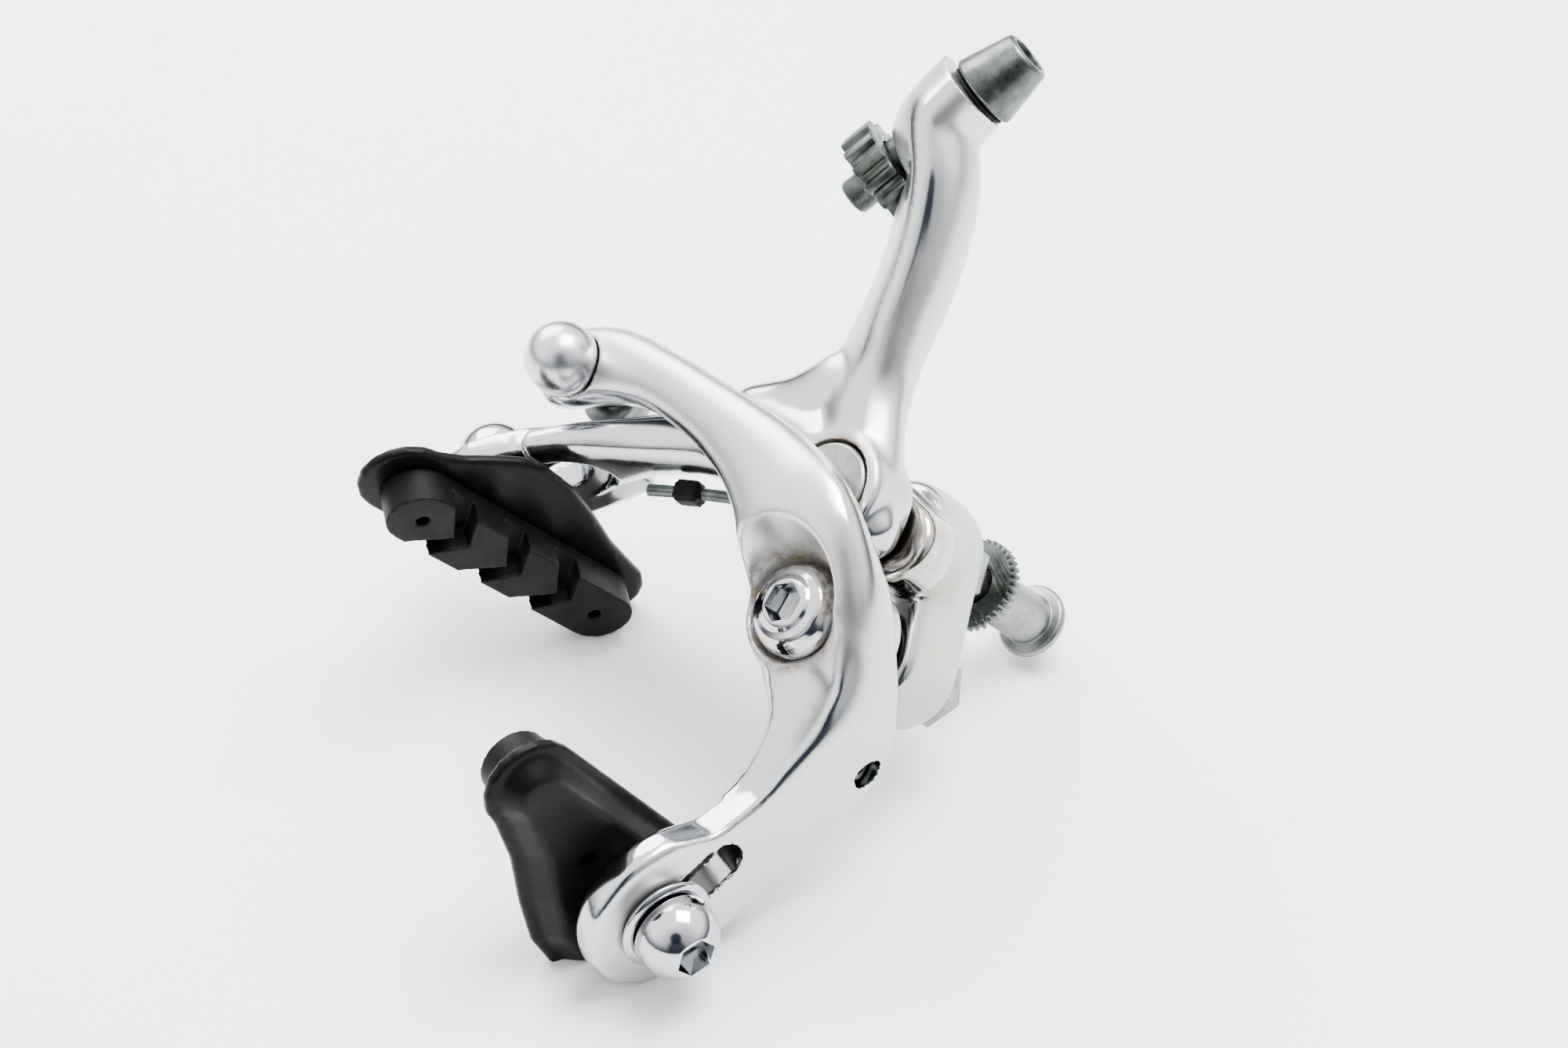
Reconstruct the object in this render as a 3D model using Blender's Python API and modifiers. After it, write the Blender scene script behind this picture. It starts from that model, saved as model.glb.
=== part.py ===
"""Dual-pivot rim brake caliper for a road bicycle, as separate parts in its mounted position.

The origin is on the centre bolt's axis, at the back of the serrated washer that bears on the fork
crown or brake bridge. -Y points to the front of the brake, +Z up, and +X is to the right seen from
the front. The brake is modelled at rest, spring-open, with no cable. Sizes below are millimetres.
"""
import math

import bmesh
import bpy
from mathutils import Matrix, Vector

MM = 0.001
MERGE = 0.00001
FRONT = Vector((0, -1, 0))

# Driving dimensions, millimetres
CENTRE = Vector((0, 0, 0))
PIVOT = Vector((14.0, 0, -11.7))

SEAT_RADIUS = 7.25
SEAT_Y = -39.2
ARCH_BACK_Y = -41.9
HUB_RADIUS = 8.8
BOSS_RADIUS = 8.9

PLATE_THICKNESS = 5.0
SLOT_WIDTH = 6.6
SLOT_TRAVEL = 11.0
SLOT_LEAN = math.radians(13)
LANDING_RADIUS = 7.0
NEAR_TILT = 0.32
FAR_TILT = 0.12
NEAR_PLATE = Vector((42.0, -40.0, -48.4))
FAR_PLATE = Vector((-41.9, -40.0, -48.1))

SHOE_LENGTH = 59.5
SHOE_HALF_HEIGHT = 7.0
BLOCK_LENGTH = 52.0
BLOCK_HEIGHT = 10.0
BLOCK_THICKNESS = 5.6
FLANGE_THICKNESS = 1.8
FLANGE_DEPTH = 5.6

BARREL = Vector((-36.5, -44.0, 0))
BARREL_HEAD_TOP = 46.8
BARREL_HEAD_BOTTOM = 33.6
ANCHOR = Vector((-41.8, 0, -25.2))
CENTRING_AXIS = Vector((0.85, 0.11, 0.51)).normalized()
CENTRING_MOUTH = Vector((32.1, -25.6, -18.5))
SPRING_RADIUS = 0.95

FRONT_ARM_STATIONS = [
    (-45.8, -44.6, -28.2, 6.2, 4.8, 2.6),
    (-39.8, -44.8, -20.6, 5.8, 4.7, 2.8),
    (-31.0, -45.5, -14.4, 4.7, 4.2, 2.8),
    (-21.2, -45.9, -9.8, 4.8, 4.0, 2.8),
    (-12.5, -46.0, -6.6, 5.6, 4.1, 2.8),
    (-3.5, -46.0, -4.9, 6.8, 4.1, 2.6),
    (5.5, -45.6, -5.8, 8.0, 4.1, 2.6),
    (12.6, -39.5, -9.2, 9.2, 7.0, 2.8),
    (19.4, -34.2, -13.0, 9.4, 7.8, 3.2),
    (26.0, -31.0, -18.0, 7.2, 8.8, 3.6),
    (29.8, -30.0, -24.0, 4.8, 9.2, 4.0),
    (33.0, -31.6, -31.0, 3.4, 9.8, 4.0),
    (36.0, -36.6, -38.6, 2.8, 11.6, 4.0),
]
REAR_LEG_STATIONS = [
    (3.0, -36.2, -0.4, 7.2, 5.0, 2.8),
    (-6.5, -36.2, -2.0, 9.2, 5.0, 2.8),
    (-15.2, -36.3, -5.6, 8.6, 5.0, 2.8),
    (-23.2, -36.3, -14.0, 5.4, 5.0, 2.8),
    (-28.8, -37.6, -22.6, 3.8, 5.6, 3.0),
    (-33.2, -39.2, -30.6, 3.0, 7.8, 3.4),
    (-36.6, -39.6, -37.8, 2.6, 9.6, 3.6),
]
TALL_ARM_STATIONS = [
    (-38.0, -45.0, 43.8, 5.8, 5.8, 3.4),
    (-36.2, -44.8, 38.8, 5.9, 6.2, 3.2),
    (-30.2, -42.6, 34.4, 5.1, 6.5, 2.6),
    (-25.4, -40.6, 29.2, 5.0, 6.3, 2.4),
    (-21.4, -39.0, 23.2, 5.1, 6.0, 2.4),
    (-18.0, -37.8, 17.2, 5.5, 5.6, 2.4),
    (-14.6, -36.4, 11.2, 6.8, 5.0, 2.4),
    (-9.4, -36.3, 5.8, 8.4, 5.0, 2.4),
    (-1.8, -36.2, 2.4, 7.8, 5.0, 2.4),
    (6.6, -35.8, 0.2, 5.4, 4.6, 2.4),
]

# Metals and rubbers: base colour, roughness, metallic
FINISHES = {
    "forged_aluminium": ((0.86, 0.87, 0.88), 0.24, 1.0),
    "bracket_aluminium": ((0.80, 0.80, 0.77), 0.52, 0.6),
    "chromed_steel": ((0.88, 0.89, 0.90), 0.08, 1.0),
    "zinc_steel": ((0.60, 0.63, 0.60), 0.42, 1.0),
    "dark_zinc": ((0.34, 0.35, 0.34), 0.45, 1.0),
    "bronze": ((0.62, 0.46, 0.24), 0.40, 1.0),
    "pad_rubber": ((0.025, 0.025, 0.028), 0.62, 0.0),
    "shoe_plastic": ((0.040, 0.040, 0.044), 0.48, 0.0),
    "seal_rubber": ((0.05, 0.04, 0.03), 0.60, 0.0),
}

for old in list(bpy.data.objects):
    bpy.data.objects.remove(old, do_unlink=True)
PARTS = bpy.data.collections.new("rim_brake_caliper")
CUTTERS = bpy.data.collections.new("cutters")
for collection in (PARTS, CUTTERS):
    bpy.context.scene.collection.children.link(collection)


def material(name):
    """A Principled material for one of the finishes, made once."""
    found = bpy.data.materials.get(name)
    if found:
        return found
    colour, roughness, metallic = FINISHES[name]
    made = bpy.data.materials.new(name)
    made.use_nodes = True
    shader = made.node_tree.nodes["Principled BSDF"]
    shader.inputs["Base Color"].default_value = (*colour, 1)
    shader.inputs["Roughness"].default_value = roughness
    shader.inputs["Metallic"].default_value = metallic
    made.diffuse_color = (*colour, 1)
    return made


def frame(origin, axis, up=Vector((0, 0, 1))):
    """A placement in metres whose local Z runs along axis and whose local Y leans towards up."""
    z = axis.normalized()
    x = up.cross(z)
    if x.length < 1e-6:
        x = Vector((1, 0, 0))
    x.normalize()
    y = z.cross(x)
    rotation = Matrix((x, y, z)).transposed().to_4x4()
    return Matrix.Translation(origin * MM) @ rotation


def place(obj, matrix, cutter=False):
    """Link an object as a part or as a hidden cutter, in its own place."""
    obj.matrix_world = matrix
    (CUTTERS if cutter else PARTS).objects.link(obj)
    if cutter:
        obj.hide_render = True
        obj.display_type = "WIRE"
    return obj


def finish_mesh(name, mesh_builder):
    """Turn a bmesh into a named object with its faces pointing out."""
    bmesh.ops.remove_doubles(mesh_builder, verts=mesh_builder.verts, dist=MERGE)
    bmesh.ops.recalc_face_normals(mesh_builder, faces=mesh_builder.faces)
    mesh = bpy.data.meshes.new(name)
    mesh_builder.to_mesh(mesh)
    mesh_builder.free()
    return bpy.data.objects.new(name, mesh)


def baked(obj):
    """Apply an object's modifiers to its mesh."""
    evaluated = obj.evaluated_get(bpy.context.evaluated_depsgraph_get())
    mesh = bpy.data.meshes.new_from_object(evaluated)
    obj.modifiers.clear()
    obj.data = mesh
    return obj


def turned(name, profile, matrix, steps=28, closed=False, cutter=False):
    """A turned piece: (radius, height) points from top to bottom down the outer side.

    A closed profile is a ring round a hole; an open one starts and ends on the axis.
    """
    points = [(radius * MM, 0, height * MM) for radius, height in profile]
    edges = [(i, i + 1) for i in range(len(points) - 1)]
    if closed:
        edges.append((len(points) - 1, 0))
    mesh = bpy.data.meshes.new(name)
    mesh.from_pydata(points, edges, [])
    obj = place(bpy.data.objects.new(name, mesh), matrix, cutter)
    screw = obj.modifiers.new("turn", "SCREW")
    screw.steps = steps
    screw.render_steps = steps
    screw.use_merge_vertices = True
    screw.merge_threshold = MERGE
    baked(obj)
    solid = bmesh.new()
    solid.from_mesh(obj.data)
    bmesh.ops.remove_doubles(solid, verts=solid.verts, dist=MERGE)
    bmesh.ops.recalc_face_normals(solid, faces=solid.faces)
    solid.to_mesh(obj.data)
    solid.free()
    return obj


def ring(name, inner, outer, low, high, matrix, steps=24, chamfer=0.0):
    """A washer, bush or seal between two radii and two heights."""
    profile = [(outer - chamfer, high), (outer, high - chamfer), (outer, low + chamfer), (outer - chamfer, low),
               (inner, low), (inner, high)]
    if chamfer == 0:
        profile = [(outer, high), (outer, low), (inner, low), (inner, high)]
    return turned(name, profile, matrix, steps, closed=True)


def rod(name, radius, low, high, matrix, steps=28, cutter=True):
    """A plain cylinder, by default a drill."""
    return turned(name, [(0, high), (radius, high), (radius, low), (0, low)], matrix, steps, cutter=cutter)


def flat(name, outlines, low, high, matrix, cutter=False):
    """A flat piece from closed outlines, the second and later ones being its holes."""
    curve = bpy.data.curves.new(name, "CURVE")
    curve.dimensions = "2D"
    curve.fill_mode = "BOTH"
    curve.extrude = (high - low) / 2 * MM
    for outline in outlines:
        spline = curve.splines.new("POLY")
        spline.points.add(len(outline) - 1)
        for point, (x, y) in zip(spline.points, outline):
            point.co = (x * MM, y * MM, 0, 1)
        spline.use_cyclic_u = True
    shape = bpy.data.objects.new(name, curve)
    bpy.context.scene.collection.objects.link(shape)
    evaluated = shape.evaluated_get(bpy.context.evaluated_depsgraph_get())
    solid = bmesh.new()
    solid.from_mesh(bpy.data.meshes.new_from_object(evaluated))
    bpy.data.objects.remove(shape, do_unlink=True)
    obj = finish_mesh(name, solid)
    return place(obj, matrix @ Matrix.Translation((0, 0, (low + high) / 2 * MM)), cutter)


def circle(radius, count=28, phase=0.0):
    """Points round a circle, or the corners of a regular polygon."""
    angles = [phase + 2 * math.pi * i / count for i in range(count)]
    return [(radius * math.cos(a), radius * math.sin(a)) for a in angles]


def hexagon(across_flats, phase=0.0):
    """A hexagon by its size across the flats."""
    return circle(across_flats / math.sqrt(3), 6, phase)


def toothed(root, tip, teeth, land=0.5):
    """An outline with square-shouldered teeth, for a knurled or serrated edge."""
    points = []
    pitch = 2 * math.pi / teeth
    for i in range(teeth):
        for share, radius in ((0.0, root), (0.15, tip), (0.15 + land * 0.7, tip), (0.3 + land * 0.7, root)):
            angle = pitch * (i + share)
            points.append((radius * math.cos(angle), radius * math.sin(angle)))
    return points


def stadium(first, second, radius, count=12):
    """The rounded outline round two centres."""
    dx, dy = second[0] - first[0], second[1] - first[1]
    heading = math.atan2(dy, dx)
    points = []
    for centre, start in ((second, heading - math.pi / 2), (first, heading + math.pi / 2)):
        for i in range(count + 1):
            angle = start + math.pi * i / count
            points.append((centre[0] + radius * math.cos(angle), centre[1] + radius * math.sin(angle)))
    return points


def boolean(obj, other, operation="DIFFERENCE"):
    """Cut or join another solid into this one and drop the tool."""
    step = obj.modifiers.new(operation.lower(), "BOOLEAN")
    step.operation = operation
    step.object = other
    step.solver = "EXACT"
    baked(obj)
    bpy.data.objects.remove(other, do_unlink=True)
    return obj


def cut(obj, *tools):
    for tool in tools:
        boolean(obj, tool)
    return obj


def join(obj, *pieces):
    for piece in pieces:
        boolean(obj, piece, "UNION")
    return obj


def spline_rows(rows, steps):
    """Rows of numbers joined by smooth Catmull-Rom curves, with steps points to a span."""
    padded = [rows[0], *rows, rows[-1]]
    result = []
    for i in range(len(rows) - 1):
        p0, p1, p2, p3 = padded[i:i + 4]
        for k in range(steps):
            t = k / steps
            row = []
            for a, b, c, d in zip(p0, p1, p2, p3):
                row.append(0.5 * (2 * b + (c - a) * t + (2 * a - 5 * b + 4 * c - d) * t ** 2
                                  + (3 * b - a - 3 * c + d) * t ** 3))
            result.append(row)
    result.append(list(rows[-1]))
    return result


def sides(angle, power):
    """A point on a unit superellipse: power 2 is round, more is squarer."""
    c, s = math.cos(angle), math.sin(angle)
    return math.copysign(abs(c) ** (2 / power), c), math.copysign(abs(s) ** (2 / power), s)


def skin(name, rings):
    """A closed solid through rings of points with equal counts."""
    solid = bmesh.new()
    loops = [[solid.verts.new(point * MM) for point in ring_points] for ring_points in rings]
    for lower, upper in zip(loops, loops[1:]):
        for i in range(len(lower)):
            j = (i + 1) % len(lower)
            solid.faces.new((lower[i], lower[j], upper[j], upper[i]))
    solid.faces.new(list(reversed(loops[0])))
    solid.faces.new(loops[-1])
    return finish_mesh(name, solid)


def forged_limb(name, stations, steps=3, count=20, round_ends=(True, True)):
    """A forged limb whose path lies in the XZ plane.

    Each station gives its centre x, y, z, its half width across the path in that plane, its half
    depth along Y, and how square its section is.
    """
    rows = spline_rows(stations, steps)
    frames = []
    for i, row in enumerate(rows):
        before, after = rows[max(i - 1, 0)], rows[min(i + 1, len(rows) - 1)]
        along = Vector((after[0] - before[0], after[1] - before[1], after[2] - before[2])).normalized()
        across = Vector((along.z, 0, -along.x)).normalized()
        frames.append((Vector(row[:3]), along, across, row[3], row[4], row[5]))
    caps = []
    for end, sign, wanted in ((0, -1, round_ends[0]), (-1, 1, round_ends[1])):
        centre, along, across, half, depth, power = frames[end]
        reach = min(half, depth) * 0.8
        cap = []
        for angle in (25, 50, 72) if wanted else ():
            shrink, push = math.cos(math.radians(angle)), math.sin(math.radians(angle))
            cap.append((centre + along * sign * reach * push, along, across, half * (0.35 + 0.65 * shrink),
                        depth * (0.35 + 0.65 * shrink), power))
        caps.append(cap)
    frames = list(reversed(caps[0])) + frames + caps[1]
    rings = []
    for centre, along, across, half, depth, power in frames:
        points = []
        for k in range(count):
            u, v = sides(2 * math.pi * k / count, power)
            points.append(centre + across * half * u + Vector((0, depth * v, 0)))
        rings.append(points)
    return skin(name, rings)


def plate_axes(tilt, side):
    """The outward normal and the upward direction of a pad plate on the +X (1) or -X (-1) side."""
    outward = Vector((side * math.cos(tilt), 0, math.sin(tilt)))
    upward = Vector((-side * math.sin(tilt), 0, math.cos(tilt)))
    return outward, upward


class PadSide:
    """Where one pad sits: its plate, its bolt axis and how its shoe is turned on the bolt."""

    def __init__(self, name, plate, tilt, side, web_sign, nose_up, centre, apex, hump):
        self.name = name
        self.outward, self.upward = plate_axes(tilt, side)
        self.surface = plate
        self.inner = plate - self.outward * PLATE_THICKNESS
        self.flip = side
        self.web_sign = web_sign
        self.centre_s, self.centre_h = centre
        self.apex = apex
        self.hump = hump
        self.nose = FRONT * math.cos(nose_up) + self.upward * math.sin(nose_up)
        self.height = self.upward * math.cos(nose_up) - FRONT * math.sin(nose_up)

    def shoe_frame(self):
        """Local Z points along the bolt to the rim, local Y up, local X to the nose times flip."""
        matrix = Matrix((self.nose * self.flip, self.height, -self.outward)).transposed().to_4x4()
        return Matrix.Translation(self.inner * MM) @ matrix

    def bolt_frame(self):
        return frame(self.surface, self.outward, self.upward)


# The right shoe is turned upside down on its bolt, so its web points down and the left one's up.
NEAR = PadSide("right", NEAR_PLATE, NEAR_TILT, 1, -1, math.radians(7), (3.0, -2.8), -6.0, 19.0)
FAR = PadSide("left", FAR_PLATE, FAR_TILT, -1, 1, 0.0, (1.6, -0.2), 8.0, 14.6)


def slot_cutters(pad):
    """The slot that the pad bolt slides in, from its lowest place upward, and its flat landing inside."""
    matrix = pad.bolt_frame()
    right = matrix.to_3x3() @ Vector((1, 0, 0))
    rearward = 1 if right.y > 0 else -1
    top = (rearward * SLOT_TRAVEL * math.sin(SLOT_LEAN), SLOT_TRAVEL * math.cos(SLOT_LEAN))
    slot = flat("slot", [stadium((0, -0.3), top, SLOT_WIDTH / 2)], -16, 8, matrix, cutter=True)
    landing = flat("landing", [stadium((0, -4), top, LANDING_RADIUS)], -16, -PLATE_THICKNESS - 0.03,
                   matrix, cutter=True)
    return slot, landing


def plate_outline():
    """Half of a pad plate's flat shape, (y from the bolt, height), from its neck round its foot."""
    corners = [(-8.4, 13.0), (-10.8, 7.0), (-11.6, 0.6), (-10.8, -4.2), (-8.2, -8.2), (-4.0, -10.8), (1.4, -11.2),
               (6.0, -9.6), (9.2, -6.0), (11.4, -0.6), (14.4, 8.0), (17.6, 17.0)]
    return [tuple(row) for row in spline_rows(corners, 3)]


def pad_plate(pad):
    """The flat plate at an arm's foot that carries the slot."""
    matrix = Matrix((Vector((0, 1, 0)), pad.upward, Vector((0, 1, 0)).cross(pad.upward))).transposed().to_4x4()
    matrix = Matrix.Translation(pad.surface * MM) @ matrix
    outward = (matrix.to_3x3() @ Vector((0, 0, 1))).dot(pad.outward)
    low, high = (-PLATE_THICKNESS, 0) if outward > 0 else (0, PLATE_THICKNESS)
    return flat("plate", [plate_outline()], low, high, matrix)


def y_frame(point, y=0.0, direction=-1):
    """A placement on an axis parallel to Y, local Z pointing to the front (-1) or the back (1)."""
    return frame(Vector((point.x, y, point.z)), Vector((0, direction, 0)))


def part(obj, name, finish, hinge=None):
    """Name a finished piece and give it its material; hinge moves its origin onto its hinge's axis."""
    obj.name = name
    obj.data.name = name
    obj.data.materials.clear()
    obj.data.materials.append(material(finish))
    obj.data.shade_smooth()
    obj.data.set_sharp_from_angle(angle=math.radians(35))
    if hinge is not None:
        moved = Matrix.Translation(hinge * MM)
        obj.data.transform(moved.inverted() @ obj.matrix_world)
        obj.matrix_world = moved
    return obj


def crowned_bar(name, first, second, levels, matrix=None):
    """A bar round two axes parallel to Y whose outline radius varies from level to level: (y, radius)."""
    rings = []
    for y, radius in levels:
        outline = stadium((first[0], first[1]), (second[0], second[1]), radius, 16)
        rings.append([Vector((x, y, z)) for x, z in outline])
    return place(skin(name, rings), matrix or Matrix())


def z_frame(point):
    """A placement on an axis parallel to Z."""
    return Matrix.Translation(Vector((point.x, point.y, 0)) * MM)


def build_front_arm():
    """The C-arm: an arch in front of the centre bolt, a side pivot hub and the right pad's leg."""
    arm = place(forged_limb("front_arm", FRONT_ARM_STATIONS, steps=3, round_ends=(True, False)), Matrix())
    hub = rod("hub", HUB_RADIUS, 26.3, 41.4, y_frame(PIVOT), 36, cutter=False)
    join(arm, hub, pad_plate(NEAR))
    seat = turned("seat", [(0, 62), (15.5, 62), (SEAT_RADIUS + 0.4, 41.2), (SEAT_RADIUS, -SEAT_Y), (0, -SEAT_Y)],
                  y_frame(PIVOT), 36, cutter=True)
    bush_bore = rod("bush_bore", 5.6, 20, 60, y_frame(PIVOT), 32)
    washer_room = rod("washer_room", 7.5, 10, 26.3, y_frame(PIVOT), 32)
    # The rear arm's boss and lobe seen from this arm, from fully open to fully closed
    room = ARCH_BACK_Y, -10
    boss_room = crowned_bar("boss_room", (0, 0), (-3.1, -5.3), [(y, BOSS_RADIUS + 0.4) for y in room])
    lobe_room = crowned_bar("lobe_room", (6.4, 1.2), (1.5, -0.6), [(y, 6.0) for y in room])
    anchor_hole = rod("anchor_hole", 2.8, 30, 60, y_frame(ANCHOR), 28)
    screw_hole = rod("screw_hole", 2.3, -9.5, 8, frame(CENTRING_MOUTH, CENTRING_AXIS), 28)
    cut(arm, seat, bush_bore, washer_room, boss_room, lobe_room, *slot_cutters(NEAR), anchor_hole, screw_hole)
    return part(arm, "front_arm", "forged_aluminium", PIVOT)


def build_rear_arm():
    """The Y-arm: a boss on the centre bolt, the left pad's leg and the tall cable arm."""
    arm = place(forged_limb("rear_arm", REAR_LEG_STATIONS, steps=3, round_ends=(True, False)), Matrix())
    tall = place(forged_limb("tall", TALL_ARM_STATIONS, steps=3), Matrix())
    boss = rod("boss", BOSS_RADIUS, 31.2, 41.2, y_frame(CENTRE), 36, cutter=False)
    join(arm, tall, boss, pad_plate(FAR))
    counterbore = rod("counterbore", 7.1, 38.3, 60, y_frame(CENTRE), 36)
    bush_bore = rod("bush_bore", 5.6, 10, 60, y_frame(CENTRE), 32)
    back_face = rod("back_face", 15.0, 10, 31.2, y_frame(CENTRE), 32)
    barrel_hole = rod("barrel_hole", 3.7, 20, 60, z_frame(BARREL), 32)
    head_top = rod("head_top", 16, BARREL_HEAD_TOP, 70, z_frame(BARREL), 24)
    wheel_room = rod("wheel_room", 8.0, 20, BARREL_HEAD_BOTTOM, z_frame(BARREL), 32)
    cut(arm, counterbore, bush_bore, back_face, head_top, wheel_room, barrel_hole, *slot_cutters(FAR))
    return part(arm, "rear_arm", "forged_aluminium")


def build_bracket():
    """The fixed bracket behind the arms, which holds the centre bolt and the side pivot."""
    bar = crowned_bar("bracket", (0, 0), (PIVOT.x, PIVOT.z),
                      [(-23.6, 7.2), (-22.2, 8.3), (-19.0, 8.9), (-14.6, 8.8), (-12.0, 8.2), (-10.6, 7.0)])
    nose = crowned_bar("nose", (-0.4, 0), (6.4, 2.0), [(-30.4, 5.4), (-29.6, 6.2), (-20.0, 6.2)])
    join(bar, nose)
    bolt_hole = rod("bolt_hole", 4.3, 5, 40, y_frame(CENTRE), 32)
    pivot_hole = rod("pivot_hole", 3.4, 5, 40, y_frame(PIVOT), 32)
    spring_groove = wire("spring_groove", spring_points(), SPRING_RADIUS + 0.5, cutter=True)
    cut(bar, bolt_hole, pivot_hole, spring_groove)
    return part(bar, "bracket", "bracket_aluminium")


def headed_bolt(name, finish, matrix, head, shank_radius, tip, socket=0.0, socket_depth=3.0, step=None):
    """A bolt with a turned head profile (radius, height), a shank down to the tip and a hex socket."""
    under = head[-1][1]
    shank = [(shank_radius, under), (shank_radius, tip + 0.4), (shank_radius - 0.4, tip), (0, tip)]
    if step:
        radius, height = step
        shank = [(shank_radius, under), (shank_radius, height), (radius, height), (radius, tip + 0.4),
                 (radius - 0.4, tip), (0, tip)]
    bolt = turned(name, [(0, head[0][1]), *head, *shank], matrix, 24)
    if socket:
        top = head[0][1]
        cut(bolt, flat("socket", [hexagon(socket)], top - socket_depth, top + 4, matrix, cutter=True))
    return part(bolt, name, finish)


def dome(radius, centre, opening, base, count=4):
    """A dome's outer profile from its opening radius down to its base height."""
    first = math.asin(opening / radius)
    angles = [first + (math.pi / 2 - first) * i / count for i in range(count + 1)]
    points = [(radius * math.sin(a), centre + radius * math.cos(a)) for a in angles]
    return [*points, (radius, base + 0.5), (radius - 0.5, base)]


def build_centre_hardware():
    """The bolt through the middle and everything that turns on it or is held by it."""
    at_centre = y_frame(CENTRE)
    headed_bolt("centre_bolt", "zinc_steel", at_centre,
                [(6.3, 41.3), (6.7, 40.9), (6.7, 38.9), (6.4, 38.6)], 3.9, -9.2, step=(2.85, 10.6))
    part(ring("centre_bush", 4.1, 5.4, 31.4, 38.0, at_centre), "centre_bush", "bronze")
    part(ring("centre_seal", 4.3, 5.6, 30.65, 30.95, at_centre), "centre_seal", "seal_rubber")
    nut = flat("centre_lock_nut", [hexagon(10.0, 0.3), circle(3.1, 28)], 6.2, 10.2, at_centre)
    part(nut, "centre_lock_nut", "zinc_steel")
    washer = flat("serrated_washer", [toothed(6.4, 7.1, 36, 0.5), circle(3.3, 24)], 0.0, 1.8, at_centre)
    part(washer, "serrated_washer", "dark_zinc")
    sleeve = [(4.0, -0.5), (4.0, -14.2), (5.4, -14.4), (5.75, -14.8), (5.75, -15.6), (5.4, -16.0), (2.6, -16.0),
              (2.6, -11.0), (3.1, -10.6), (3.1, -0.5)]
    part(turned("sleeve_nut", sleeve, at_centre, 28, closed=True), "sleeve_nut", "zinc_steel")


def build_pivot_hardware():
    """The side pivot's bolt, bush, washers and nut."""
    at_pivot = y_frame(PIVOT)
    head = [(3.35, 44.0), (3.7, 43.75), (4.4, 43.3), (5.2, 43.1), (6.1, 42.3), (6.8, 41.0), (6.95, 40.0),
            (6.95, 39.7), (6.7, 39.5)]
    headed_bolt("side_pivot_bolt", "chromed_steel", at_pivot, head, 3.9, 5.0, socket=5.4, socket_depth=3.6,
                step=(2.85, 23.9))
    part(ring("side_pivot_bush", 4.1, 5.4, 26.5, 39.0, at_pivot), "side_pivot_bush", "bronze")
    part(ring("side_pivot_washer", 4.2, 7.0, 25.2, 26.0, at_pivot, chamfer=0.15), "side_pivot_washer", "zinc_steel")
    part(ring("side_pivot_seal", 4.2, 6.2, 24.0, 24.9, at_pivot), "side_pivot_seal", "seal_rubber")
    nut = flat("side_pivot_nut", [hexagon(10.0, 0.5), circle(3.1, 28)], 5.8, 10.2, at_pivot)
    part(nut, "side_pivot_nut", "zinc_steel")
    screw = rod("centring_screw", 1.9, -8.4, -1.0, frame(CENTRING_MOUTH, CENTRING_AXIS), 28, cutter=False)
    cut(screw, flat("key", [hexagon(2.0)], -3.2, 3, frame(CENTRING_MOUTH, CENTRING_AXIS), cutter=True))
    part(screw, "centring_screw", "dark_zinc")


def spring_points():
    """The return spring's wire: from the left leg, below the bracket's nose, to the right leg."""
    route = [(-26.0, -34.2, -28.2), (-21.4, -33.2, -22.8), (-16.6, -31.2, -17.2), (-11.6, -28.8, -12.6),
             (-5.6, -27.8, -9.8), (0.0, -27.6, -9.4), (3.0, -27.4, -13.6), (5.2, -26.2, -18.6), (9.6, -24.6, -22.6),
             (15.0, -24.2, -24.6), (20.2, -24.4, -26.4), (24.4, -24.6, -29.2)]
    return spline_rows(route, 4)


def wire(name, points, radius, cutter=False):
    """A round wire along points, closed at both ends."""
    curve = bpy.data.curves.new(name, "CURVE")
    curve.dimensions = "3D"
    curve.bevel_depth = radius * MM
    curve.bevel_resolution = 2
    curve.use_fill_caps = True
    spline = curve.splines.new("POLY")
    spline.points.add(len(points) - 1)
    for point, place_at in zip(spline.points, points):
        point.co = (*(Vector(place_at) * MM), 1)
    shape = bpy.data.objects.new(name, curve)
    bpy.context.scene.collection.objects.link(shape)
    evaluated = shape.evaluated_get(bpy.context.evaluated_depsgraph_get())
    solid = bmesh.new()
    solid.from_mesh(bpy.data.meshes.new_from_object(evaluated))
    bpy.data.objects.remove(shape, do_unlink=True)
    return place(finish_mesh(name, solid), Matrix(), cutter)


def block(name, size, matrix, chamfer=0.6):
    """A small moulded block with bevelled edges."""
    solid = bmesh.new()
    bmesh.ops.create_cube(solid, size=1)
    bmesh.ops.scale(solid, vec=Vector(size) * MM, verts=solid.verts)
    bmesh.ops.bevel(solid, geom=list(solid.edges), offset=chamfer * MM, segments=2, affect="EDGES")
    return place(finish_mesh(name, solid), matrix)


def build_spring():
    """The return spring and the plastic shoes its ends press on."""
    points = spring_points()
    part(wire("return_spring", points, SPRING_RADIUS), "return_spring", "zinc_steel")
    for name, index, hinge in (("spring_shoe_left", 4, CENTRE), ("spring_shoe_right", len(points) - 5, PIVOT)):
        middle = Vector(points[index])
        along = (Vector(points[index + 1]) - Vector(points[index - 1])).normalized()
        shoe = block(name, (4.2, 4.6, 5.6), frame(middle, along, Vector((0, 1, 0))))
        cut(shoe, wire("bore", points, SPRING_RADIUS + 0.2, cutter=True))
        part(shoe, name, "seal_rubber", hinge)


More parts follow.
